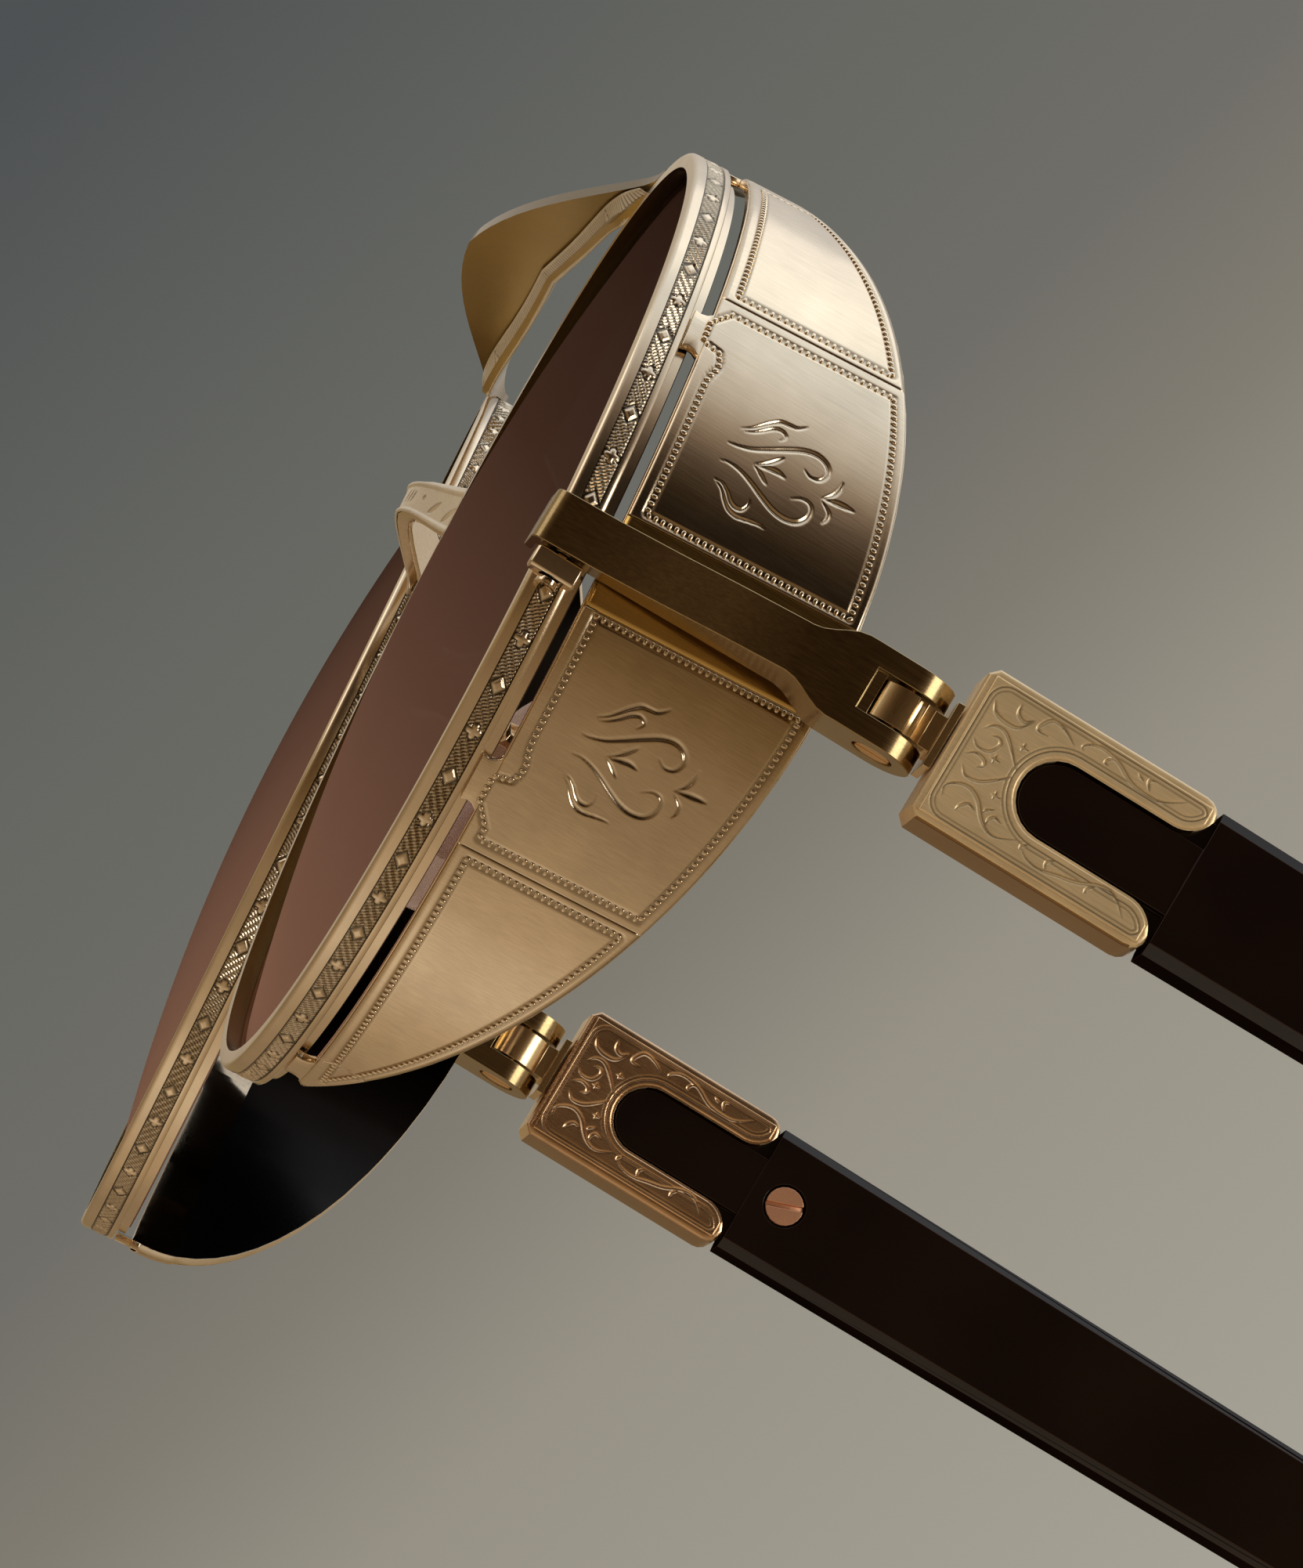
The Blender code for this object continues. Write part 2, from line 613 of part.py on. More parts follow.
def end_piece_plan():
    """Plan outline (x, y): hook over the rim, bar past the shield, barrel at the hinge."""
    inner = RIM_CENTRE_X + RIM_RADIUS + SOLDER_GAP
    outer = inner + BAR_THICKNESS
    rim_front = math.tan(FACE_WRAP) * RIM_RADIUS
    hook_front = rim_front - SOLDER_GAP - HOOK_THICKNESS
    hook_back = rim_front - SOLDER_GAP - FIT_GAP
    barrel_front = HINGE_Y - BARREL_LEAD
    steps = [i / BAR_STEPS for i in range(1, BAR_STEPS)]
    outline = [(inner - HOOK_REACH, hook_back), (inner - HOOK_REACH, hook_front + HOOK_CHAMFER),
               (inner - HOOK_REACH + HOOK_CHAMFER, hook_front)]
    outline += arc_points((outer - BAR_CORNER, hook_front + BAR_CORNER), BAR_CORNER, -math.pi / 2, 0, 4)
    for share in steps:
        x = outer + (HINGE_X + BARREL_RADIUS - outer) * ease(share)
        outline.append((x, hook_front + (barrel_front - hook_front) * share))
    outline.append((HINGE_X + BARREL_RADIUS, barrel_front))
    outline += arc_points((HINGE_X, HINGE_Y), BARREL_RADIUS, 0, math.pi, 12)
    outline.append((HINGE_X - BARREL_RADIUS, barrel_front))
    for share in reversed(steps):
        x = inner + (HINGE_X - BARREL_RADIUS - inner) * ease(share)
        outline.append((x, hook_front + (barrel_front - hook_front) * share))
    return outline + [(inner, RIM_DEPTH), (inner, hook_back)]


def end_piece_side():
    """Side outline (y, z about the temple line): a slim bar that flares into the hinge."""
    bar = BAR_HEIGHT / 2
    block = HINGE_BLOCK_HEIGHT / 2
    block_start = HINGE_Y - HINGE_BLOCK_LENGTH
    flare_start = block_start - FLARE_LENGTH
    upper = [(-THROUGH, bar), (flare_start, bar)]
    for i in range(1, BAR_STEPS):
        share = i / BAR_STEPS
        upper.append((flare_start + FLARE_LENGTH * share, bar + (block - bar) * ease(share)))
    upper += [(block_start, block), (HINGE_Y + THROUGH, block)]
    lower = [(y, -z) for y, z in reversed(upper)]
    return [(y, TEMPLE_Z + z) for y, z in upper + lower]


def lock_centre():
    """Plan position of the rim lock's screw, just outside the rim."""
    x = RIM_CENTRE_X + RIM_RADIUS + SOLDER_GAP + LOCK_WIDTH / 2
    y = math.tan(FACE_WRAP) * RIM_RADIUS + RIM_BAND_DEPTH / 2 + SOLDER_GAP
    return x, y


def lock_top():
    """World height of the rim lock's upper face, just under the end piece's bar."""
    return TEMPLE_Z - BAR_HEIGHT / 2 - SOLDER_GAP


def make_end_piece():
    plan = slab_mesh(end_piece_plan(), TEMPLE_Z - THROUGH, TEMPLE_Z + THROUGH)
    piece = new_object("end_piece_left", plan, MODEL, BRUSHED)
    side = slab_mesh(end_piece_side(), RIM_CENTRE_X, HINGE_X + THROUGH, axis="X")
    cut(piece, new_cutter("end_piece_side_cutter", side), "INTERSECT")
    half = HINGE_SLOT_HEIGHT / 2
    at_hinge = Matrix.Translation((HINGE_X, HINGE_Y, TEMPLE_Z))
    fold_room = LEAF_NECK_WIDTH / 2 + FIT_GAP
    knuckle_room = cylinder_mesh(BARREL_RADIUS - SOLDER_GAP + FIT_GAP, -half, half, sides=20)
    cut(piece, new_cutter("hinge_knuckle_cutter", knuckle_room, at_hinge))
    inner_room = box_mesh((-THROUGH, -fold_room, -half), (0, THROUGH, half))
    cut(piece, new_cutter("hinge_fold_cutter", inner_room, at_hinge))
    outer_room = box_mesh((-SOLDER_GAP, 0, -half), (THROUGH, THROUGH, half))
    cut(piece, new_cutter("hinge_rear_cutter", outer_room, at_hinge))
    pocket = box_mesh((BARREL_RADIUS - HINGE_POCKET_DEPTH, -HINGE_POCKET_FRONT, -half),
                      (THROUGH, SOLDER_GAP, half))
    cut(piece, new_cutter("hinge_pocket_cutter", pocket, at_hinge))
    bore = cylinder_mesh(HINGE_SCREW_RADIUS + FIT_GAP, -THROUGH, THROUGH, sides=16)
    cut(piece, new_cutter("hinge_bore_cutter", bore, at_hinge))
    block = HINGE_BLOCK_HEIGHT / 2
    seat = cylinder_mesh(HINGE_HEAD_RADIUS + FIT_GAP, -THROUGH, -block + HINGE_HEAD_HEIGHT, sides=16)
    cut(piece, new_cutter("hinge_head_cutter", seat, at_hinge))
    x, y = lock_centre()
    base = TEMPLE_Z - BAR_HEIGHT / 2
    hole = cylinder_mesh(LOCK_SCREW_RADIUS + FIT_GAP, -LOCK_SCREW_DEPTH, LOCK_SCREW_DEPTH + FIT_GAP,
                         sides=10)
    cut(piece, new_cutter("lock_screw_cutter", hole, Matrix.Translation((x, y, base))))
    shade(piece)
    mirror_to_right(piece, BRUSHED)


def make_rim_lock():
    x, y = lock_centre()
    place = Matrix.Translation((x, y, lock_top() - LOCK_HEIGHT))
    bm = box_mesh((-LOCK_WIDTH / 2, -LOCK_LENGTH / 2, 0), (LOCK_WIDTH / 2, LOCK_LENGTH / 2, LOCK_HEIGHT))
    lock = new_object("rim_lock_left", bm, MODEL, METAL)
    lock.location = place.translation
    bevel_edges(lock, LOCK_EDGE, 1)
    hole = cylinder_mesh(LOCK_SCREW_RADIUS + FIT_GAP, -THROUGH, THROUGH, sides=10)
    cut(lock, new_cutter("lock_hole_cutter", hole, place))
    shade(lock)
    mirror_to_right(lock, METAL)


def make_rim_lock_screw():
    x, y = lock_centre()
    place = Matrix.Translation((x, y, lock_top() - LOCK_HEIGHT))
    shank = LOCK_HEIGHT + SOLDER_GAP + LOCK_SCREW_DEPTH
    bm = cylinder_mesh(LOCK_SCREW_RADIUS, -LOCK_HEAD_HEIGHT, shank, sides=10)
    screw = new_object("rim_lock_screw_left", bm, MODEL, METAL)
    screw.location = place.translation
    head = cylinder_mesh(LOCK_HEAD_RADIUS, -LOCK_HEAD_HEIGHT - SOLDER_GAP, -SOLDER_GAP, sides=16)
    cut(screw, new_cutter("lock_head_union", head, place), "UNION")
    half = SCREW_SLOT_WIDTH / 2
    floor = -LOCK_HEAD_HEIGHT - SOLDER_GAP + LOCK_DRIVER_DEPTH
    slot = box_mesh((-THROUGH, -half, -THROUGH), (THROUGH, half, floor))
    cut(screw, new_cutter("lock_driver_cutter", slot, place))
    shade(screw)
    mirror_to_right(screw, METAL)


def make_hinge_leaf():
    """The temple's leaf: a middle knuckle in the fork, a neck and a plate on the sleeve."""
    half = HINGE_SLOT_HEIGHT / 2 - FIT_GAP
    radius = BARREL_RADIUS - SOLDER_GAP
    neck = LEAF_NECK_WIDTH / 2
    plate_back = LEAF_PLATE_FRONT + LEAF_PLATE_THICKNESS
    opening = math.asin(neck / radius)
    outline = arc_points((0, 0), radius, math.pi / 2 + opening, 2.5 * math.pi - opening, 16)
    outline += [(neck, plate_back), (-neck, plate_back)]
    leaf = new_object("hinge_leaf_left", slab_mesh(outline, -half, half), MODEL, METAL)
    leaf.location = (HINGE_X, HINGE_Y, TEMPLE_Z)
    here = Matrix.Translation(leaf.location)
    inside = -SLEEVE_INSET + SLEEVE_BEVEL
    outside = inside + SLEEVE_THICKNESS - 2 * SLEEVE_BEVEL
    plate = box_mesh((inside, LEAF_PLATE_FRONT, -LEAF_PLATE_HEIGHT / 2),
                     (outside, plate_back, LEAF_PLATE_HEIGHT / 2))
    cut(leaf, new_cutter("leaf_plate_union", plate, here), "UNION")
    bore = cylinder_mesh(HINGE_SCREW_RADIUS + FIT_GAP, -THROUGH, THROUGH, sides=16)
    cut(leaf, new_cutter("leaf_bore_cutter", bore, here))
    groove = cylinder_mesh(LEAF_GROOVE, -THROUGH, THROUGH, sides=8)
    on_barrel = Vector((math.cos(LEAF_GROOVE_ANGLE), math.sin(LEAF_GROOVE_ANGLE), 0)) * radius
    cut(leaf, new_cutter("leaf_groove_cutter", groove, here @ Matrix.Translation(on_barrel)))
    shade(leaf)
    mirror_to_right(leaf, METAL)


def make_hinge_screw():
    here = Matrix.Translation((HINGE_X, HINGE_Y, TEMPLE_Z))
    bottom = -HINGE_BLOCK_HEIGHT / 2
    head_bottom = bottom + HINGE_HEAD_SINK
    head_top = bottom + HINGE_HEAD_HEIGHT - SOLDER_GAP
    bm = cylinder_mesh(HINGE_SCREW_RADIUS, (head_bottom + head_top) / 2, -bottom - FIT_GAP, sides=16)
    screw = new_object("hinge_screw_left", bm, MODEL, COPPER)
    screw.location = here.translation
    head = cylinder_mesh(HINGE_HEAD_RADIUS, head_bottom, head_top, sides=16)
    cut(screw, new_cutter("hinge_head_union", head, here), "UNION")
    half = SCREW_SLOT_WIDTH / 2
    slot = box_mesh((-half, -THROUGH, -THROUGH), (half, THROUGH, head_bottom + HINGE_DRIVER_DEPTH))
    cut(screw, new_cutter("hinge_driver_cutter", slot, here))
    shade(screw)
    mirror_to_right(screw, COPPER)


def window_outline(radius, start, end):
    """A U lying along the temple: round at the front, open to the rear (y, z)."""
    points = arc_points((start + radius, 0), radius, math.pi / 2, 1.5 * math.pi, 12)
    return points + [(end, -radius), (end, radius)]


def make_temple_sleeve():
    half = SLEEVE_HEIGHT / 2
    inner = MIDDLE_X - SLEEVE_THICKNESS / 2
    outer = MIDDLE_X + SLEEVE_THICKNESS / 2
    corner = SLEEVE_CORNER
    outline = [(SLEEVE_FRONT, -half + corner / 2), (SLEEVE_FRONT + corner / 2, -half)]
    outline += arc_points((SLEEVE_BACK - corner, -half + corner), corner, -math.pi / 2, 0, 4)
    outline += [(y, -z) for y, z in reversed(outline)]
    sleeve = new_object("temple_sleeve_left", slab_mesh(outline, inner, outer, "X"), MODEL, METAL)
    sleeve.location = (HINGE_X, HINGE_Y, TEMPLE_Z)
    here = Matrix.Translation(sleeve.location)
    bevel_edges(sleeve, SLEEVE_BEVEL, 2, math.radians(60))
    pocket = box_mesh((inner + SLEEVE_WALL, SLEEVE_FRONT + SLEEVE_END_WALL, -half + SLEEVE_WALL),
                      (outer - SLEEVE_WALL, SLEEVE_BACK + THROUGH, half - SLEEVE_WALL))
    cut(sleeve, new_cutter("sleeve_pocket_cutter", pocket, here))
    window = window_outline(SLEEVE_WINDOW_RADIUS, SLEEVE_FRONT + SLEEVE_WINDOW_DEPTH,
                            SLEEVE_BACK + THROUGH)
    bm = slab_mesh(window, inner - THROUGH, outer + THROUGH, "X")
    cut(sleeve, new_cutter("sleeve_window_cutter", bm, here))
    shade(sleeve)
    mirror_to_right(sleeve, METAL)


def ear_drop():
    """Drop of the temple's middle line at its end, so that the round tip just meets the ground."""
    radius = TEMPLE_TIP_HEIGHT / 2
    along = TIP_ROUNDNESS * radius * math.sin(EAR_BEND_ANGLE)
    lowest = math.hypot(along, radius * math.cos(EAR_BEND_ANGLE))
    return TEMPLE_Z - lowest + along


def tail_length():
    """Length of the straight tail behind the ear bend."""
    drop_in_bend = EAR_BEND_RADIUS * (1 - math.cos(EAR_BEND_ANGLE))
    return (ear_drop() - drop_in_bend) / math.sin(EAR_BEND_ANGLE)


def temple_length():
    return TEMPLE_STRAIGHT + EAR_BEND_RADIUS * EAR_BEND_ANGLE + tail_length()


def temple_point(distance):
    """The temple's middle line at a distance behind the hinge: its point and its turn down."""
    radius = EAR_BEND_RADIUS
    turn = min(max((distance - TEMPLE_STRAIGHT) / radius, 0), EAR_BEND_ANGLE)
    tail = max(distance - TEMPLE_STRAIGHT - radius * EAR_BEND_ANGLE, 0)
    y = min(distance, TEMPLE_STRAIGHT) + radius * math.sin(turn) + tail * math.cos(turn)
    z = -radius * (1 - math.cos(turn)) - tail * math.sin(turn)
    start = TEMPLE_STRAIGHT * EAR_INSET_START
    inset = EAR_INSET * (max(distance - start, 0) / (temple_length() - start)) ** 2
    return Vector((MIDDLE_X - inset, y, z)), turn


def temple_size(distance):
    """Height and thickness of the acetate at a distance behind the hinge."""
    if distance < TEMPLE_STRAIGHT:
        share = (distance - SLEEVE_BACK) / (TEMPLE_STRAIGHT - SLEEVE_BACK)
        height = TEMPLE_HEIGHT + (TEMPLE_WAIST_HEIGHT - TEMPLE_HEIGHT) * share ** 1.5
        return height, TEMPLE_THICKNESS + (TEMPLE_WAIST_THICKNESS - TEMPLE_THICKNESS) * share
    share = (distance - TEMPLE_STRAIGHT) / (temple_length() - TEMPLE_STRAIGHT)
    swell = math.sin(math.pi / 2 * min(share * TAIL_SWELL, 1))
    height = TEMPLE_WAIST_HEIGHT + (TEMPLE_TIP_HEIGHT - TEMPLE_WAIST_HEIGHT) * swell
    return height, TEMPLE_WAIST_THICKNESS


def temple_ring(distance, height, thickness, chamfer):
    """A chamfered section square to the temple's middle line."""
    centre, turn = temple_point(distance)
    up = Vector((0, math.sin(turn), math.cos(turn)))
    across = Vector((1, 0, 0))
    return [centre + across * a + up * b for a, b in chamfered_ring(thickness, height, chamfer)]


def acetate_rings():
    """Sections from the sleeve to the waist, through the ear bend and round the tip."""
    total = temple_length()
    rings = []
    stations = [TEMPLE_START + (TEMPLE_STRAIGHT - TEMPLE_START) * i / 6 for i in range(7)]
    stations += [TEMPLE_STRAIGHT + EAR_BEND_RADIUS * EAR_BEND_ANGLE * i / 4 for i in range(1, 5)]
    tip = TEMPLE_TIP_HEIGHT / 2 * TIP_ROUNDNESS
    stations += [stations[-1] + (total - tip - stations[-1]) * i / 3 for i in range(1, 4)]
    for distance in stations:
        rings.append(temple_ring(distance, *temple_size(distance), TEMPLE_CHAMFER))
    for i in range(1, 6):
        swing = math.radians(16 * i)
        shrink = math.cos(swing)
        distance = total - tip * (1 - math.sin(swing))
        height, thick = temple_size(distance)
        thick *= TIP_THINNING + (1 - TIP_THINNING) * shrink
        rings.append(temple_ring(distance, height * shrink, thick, TEMPLE_CHAMFER * shrink))
    return rings


def core_rings(margin):
    """Sections of the wire core, or of its channel with a margin on every side."""
    start = SLEEVE_FRONT + SLEEVE_END_WALL + FIT_GAP - margin
    end = temple_length() - CORE_TIP_MARGIN + margin
    bend = EAR_BEND_RADIUS * EAR_BEND_ANGLE
    stations = [start] + [TEMPLE_STRAIGHT * share for share in (EAR_INSET_START, 0.8)]
    stations += [TEMPLE_STRAIGHT + bend * i / 4 for i in range(5)] + [end]
    return [temple_ring(distance, CORE_HEIGHT + 2 * margin, CORE_THICKNESS + 2 * margin, CORE_EDGE)
            for distance in stations]


def temple_screw_place():
    return Vector((HINGE_X + MIDDLE_X, HINGE_Y + SLEEVE_BACK + TEMPLE_SCREW_BEHIND, TEMPLE_Z))


def make_temple():
    """Acetate temple: a tongue inside the sleeve, a chamfered bar and a rounded ear tip."""
    temple = new_object("temple_left", loft_mesh(acetate_rings()), MODEL, ACETATE)
    temple.location = (HINGE_X, HINGE_Y, TEMPLE_Z)
    here = Matrix.Translation(temple.location)
    wall = SLEEVE_WALL + FIT_GAP
    half_width = SLEEVE_THICKNESS / 2 - wall
    half = SLEEVE_HEIGHT / 2 - wall
    tongue = box_mesh((MIDDLE_X - half_width, SLEEVE_FRONT + SLEEVE_END_WALL + FIT_GAP, -half),
                      (MIDDLE_X + half_width, TEMPLE_START + TONGUE_LAP, half))
    cut(temple, new_cutter("temple_tongue_union", tongue, here), "UNION")
    window = window_outline(SLEEVE_WINDOW_RADIUS - FIT_GAP, SLEEVE_FRONT + SLEEVE_WINDOW_DEPTH + FIT_GAP,
                            TEMPLE_START + TONGUE_LAP)
    land = TEMPLE_THICKNESS / 2 - SOLDER_GAP
    bm = slab_mesh(window, MIDDLE_X - land, MIDDLE_X + land, "X")
    cut(temple, new_cutter("temple_window_union", bm, here), "UNION")
    cut(temple, new_cutter("temple_channel_cutter", loft_mesh(core_rings(FIT_GAP)), here))
    at_screw = Matrix.Translation(temple_screw_place())
    face = -TEMPLE_THICKNESS / 2
    hole = cylinder_mesh(TEMPLE_SCREW_RADIUS + FIT_GAP, -THROUGH, face + TEMPLE_SCREW_HEAD, axis="X",
                         sides=20)
    cut(temple, new_cutter("temple_screw_cutter", hole, at_screw))
    hole = cylinder_mesh(TEMPLE_SCREW_SHANK + FIT_GAP, face, 0, axis="X", sides=10)
    cut(temple, new_cutter("temple_shank_cutter", hole, at_screw))
    shade(temple)
    mirror_to_right(temple, ACETATE)


def make_temple_core():
    """The flat wire inside the acetate."""
    core = new_object("temple_core_left", loft_mesh(core_rings(0)), MODEL, METAL)
    core.location = (HINGE_X, HINGE_Y, TEMPLE_Z)
    hole = cylinder_mesh(TEMPLE_SCREW_SHANK + FIT_GAP, -THROUGH, THROUGH, axis="X", sides=10)
    cut(core, new_cutter("core_hole_cutter", hole, Matrix.Translation(temple_screw_place())))
    shade(core)
    mirror_to_right(core, METAL)


def make_temple_screw():
    """The slotted screw in the temple's inner face, which clamps the core."""
    at_screw = Matrix.Translation(temple_screw_place())
    face = -TEMPLE_THICKNESS / 2
    head_end = face + TEMPLE_SCREW_HEAD - FIT_GAP
    bm = cylinder_mesh(TEMPLE_SCREW_RADIUS, face, head_end, axis="X", sides=20)
    screw = new_object("temple_screw_left", bm, MODEL, COPPER)
    screw.location = at_screw.translation
    shank = cylinder_mesh(TEMPLE_SCREW_SHANK, (face + head_end) / 2, CORE_THICKNESS / 2, axis="X",
                          sides=10)
    cut(screw, new_cutter("temple_shank_union", shank, at_screw), "UNION")
    half = SCREW_SLOT_WIDTH / 2
    slot = box_mesh((-THROUGH, -THROUGH, -half), (face + TEMPLE_DRIVER_DEPTH, THROUGH, half))
    turned = at_screw @ Matrix.Rotation(TEMPLE_DRIVER_TURN, 4, "X")
    cut(screw, new_cutter("temple_driver_cutter", slot, turned))
    shade(screw)
    mirror_to_right(screw, COPPER)


def pad_matrix():
    """The pad's own axes: -X faces the nose, Y runs along the screw and Z along the pad."""
    return (Matrix.Translation(PAD_PIVOT) @ Matrix.Rotation(PAD_SPLAY, 4, "Z")
            @ Matrix.Rotation(PAD_FRONTAL, 4, "Y"))


def place_at_pad(obj):
    matrix = pad_matrix()
    obj.location = matrix.translation
    obj.rotation_euler = matrix.to_euler("XYZ")


def make_nose_pad():
    """A drop-shaped silicone pad with a boss that pivots on a screw in the arm's box."""
    bm = bmesh.new()
    bmesh.ops.create_uvsphere(bm, u_segments=20, v_segments=10, radius=1.0)
    bmesh.ops.scale(bm, vec=(PAD_THICKNESS / 2, PAD_WIDTH / 2, PAD_LENGTH / 2), verts=bm.verts)
    for vert in bm.verts:
        share = vert.co.z / (PAD_LENGTH / 2)
        vert.co.y *= 1 - PAD_TAPER * share
        vert.co.x += PAD_CURVE * share ** 2
    stand_off = PAD_STAND_OFF + PAD_SCREW_RADIUS
    bmesh.ops.translate(bm, vec=(-stand_off - PAD_THICKNESS / 2, 0, 0), verts=bm.verts)
    pad = new_object("nose_pad_left", bm, MODEL, PAD)
    place_at_pad(pad)
    here = pad_matrix()
    boss = box_mesh((-stand_off - PAD_BOSS_ROOT, -PAD_BOSS_WIDTH / 2, -PAD_BOSS_HEIGHT / 2),
                    (PAD_BOSS_DEPTH / 2, PAD_BOSS_WIDTH / 2, PAD_BOSS_HEIGHT / 2))
    cut(pad, new_cutter("pad_boss_union", boss, here), "UNION")
    hole = cylinder_mesh(PAD_SCREW_RADIUS + SOLDER_GAP, -THROUGH, THROUGH, axis="Y", sides=10)
    cut(pad, new_cutter("pad_hole_cutter", hole, here))
    shade(pad)
    mirror_to_right(pad, PAD)


def pad_box_half():
    """Half the width of the arm's box, along the pad screw."""
    return PAD_BOSS_WIDTH / 2 + FIT_GAP + PAD_BOX_WALL


def make_pad_screw():
    here = pad_matrix()
    half = pad_box_half()
    head_top = half + SOLDER_GAP + PAD_SCREW_HEAD_HEIGHT
    middle = half + SOLDER_GAP + PAD_SCREW_HEAD_HEIGHT / 2
    bm = cylinder_mesh(PAD_SCREW_RADIUS, -half, middle, axis="Y", sides=10)
    screw = new_object("pad_screw_left", bm, MODEL, METAL)
    place_at_pad(screw)
    head = cylinder_mesh(PAD_SCREW_HEAD, half + SOLDER_GAP, head_top, axis="Y", sides=16)
    cut(screw, new_cutter("pad_screw_head_union", head, here), "UNION")
    slot = box_mesh((-THROUGH, head_top - PAD_DRIVER_DEPTH, -PAD_SLOT_WIDTH / 2),
                    (THROUGH, THROUGH, PAD_SLOT_WIDTH / 2))
    cut(screw, new_cutter("pad_driver_cutter", slot, here))
    shade(screw)
    mirror_to_right(screw, METAL)


def smooth_route(points, steps):
    """A Catmull-Rom curve through the given points."""
    ends = [points[0] * 2 - points[1]] + points + [points[-1] * 2 - points[-2]]
    route = []
    for a, b, c, d in zip(ends, ends[1:], ends[2:], ends[3:]):
        for i in range(steps):
            t = i / steps
            route.append(0.5 * (2 * b + (c - a) * t + (2 * a - 5 * b + 4 * c - d) * t * t
                                + (3 * b - a - 3 * c + d) * t ** 3))
    route.append(points[-1])
    return route


def pad_arm_route():
    """Points of the wire: up off the rim's back, round a small loop and into the box."""
    rim = rim_matrix()
    here = pad_matrix()
    foot_radius = RIM_RADIUS - LIP_STEP + SOLDER_GAP + PAD_ARM_RADIUS
    start_depth = RIM_BAND_DEPTH + SOLDER_GAP
    foot = rim @ on_rim(foot_radius, PAD_ARM_FOOT_ANGLE, start_depth)
    rise = rim @ on_rim(foot_radius, PAD_ARM_FOOT_ANGLE, start_depth + PAD_ARM_RISE)
    back = PAD_BOSS_DEPTH / 2 + FIT_GAP + PAD_BOX_WALL
    entry = here @ Vector((back - PAD_BOX_WALL / 4, 0, PAD_BOX_HEIGHT / 10))
    before = here @ Vector((back + PAD_ARM_LEAD, 0, PAD_BOX_HEIGHT * 0.4))
    loop = (rise + before) / 2 + PAD_ARM_LOOP
    return smooth_route([foot, rise, loop, before, entry], 4)


def make_pad_arm():
    """A bent wire from the back of the rim to a small open box that holds the pad's boss."""
    curve = bpy.data.curves.new("pad_arm_wire", "CURVE")
    curve.dimensions = "3D"
    curve.bevel_depth = PAD_ARM_RADIUS
    curve.bevel_resolution = 2
    curve.use_fill_caps = True
    spline = curve.splines.new("POLY")
    route = pad_arm_route()
    spline.points.add(len(route) - 1)
    for point, place in zip(spline.points, route):
        point.co = (*place, 1)
    wire = bpy.data.objects.new("pad_arm_wire", curve)
    MODEL.objects.link(wire)
    mesh = evaluated_mesh(wire)
    bpy.data.objects.remove(wire)
    here = pad_matrix()
    bm = bmesh.new()
    bm.from_mesh(mesh)
    bmesh.ops.remove_doubles(bm, verts=bm.verts, dist=WELD_DISTANCE)
    bmesh.ops.recalc_face_normals(bm, faces=bm.faces)
    bmesh.ops.transform(bm, matrix=here.inverted(), verts=bm.verts)
    arm = new_object("pad_arm_left", bm, MODEL, METAL)
    place_at_pad(arm)
    clear = PAD_SCREW_RADIUS + SOLDER_GAP
    inner_x = PAD_BOSS_DEPTH / 2 + FIT_GAP
    inner_y = PAD_BOSS_WIDTH / 2 + FIT_GAP
    half_y = pad_box_half()
    half_z = PAD_BOX_HEIGHT / 2
    box = box_mesh((-clear - PAD_BOX_LIP, -half_y, -half_z), (inner_x + PAD_BOX_WALL, half_y, half_z))
    cut(arm, new_cutter("pad_box_union", box, here), "UNION")
    slot = box_mesh((-THROUGH, -inner_y, -half_z - FIT_GAP), (inner_x, inner_y, half_z + FIT_GAP))
    cut(arm, new_cutter("pad_slot_cutter", slot, here))
    hole = cylinder_mesh(clear, -half_y - FIT_GAP, half_y + FIT_GAP, axis="Y", sides=10)
    cut(arm, new_cutter("pad_arm_hole_cutter", hole, here))
    shade(arm)
    mirror_to_right(arm, METAL)


def centre_on_origin():
    """Move the whole model along Y, so that the origin is under the middle of its box."""
    bpy.context.view_layer.update()
    depths = []
    for obj in MODEL.objects:
        mesh = evaluated_mesh(obj)
        depths += [(obj.matrix_world @ vert.co).y for vert in mesh.vertices]
        bpy.data.meshes.remove(mesh)
    shift = -(min(depths) + max(depths)) / 2
    for obj in list(MODEL.objects) + list(CUTTERS.objects):
        obj.location.y += shift


clear_scene()
MODEL = new_collection("round_sunglasses")
CUTTERS = new_collection("cutters")
make_rim()
make_lens()
make_side_shield()
make_brow_bar()
make_nose_bridge()
make_end_piece()
make_rim_lock()
make_rim_lock_screw()
make_hinge_leaf()
make_hinge_screw()
make_temple_sleeve()
make_temple()
make_temple_core()
make_temple_screw()
make_pad_arm()
make_nose_pad()
make_pad_screw()
centre_on_origin()
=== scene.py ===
# %% [markdown]
# # Round sunglasses with engraved side shields
#
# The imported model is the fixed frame: every rigid piece has its real place and size there. This script
# dresses it. It adds the engraving, the beads, the polish and the brushing that the solids are too plain
# to carry, and it sets up the light and the camera.

# %% Load the frame
import json
import math

import bmesh
import bpy
import numpy as np
from mathutils import Matrix, Vector
from mathutils.kdtree import KDTree

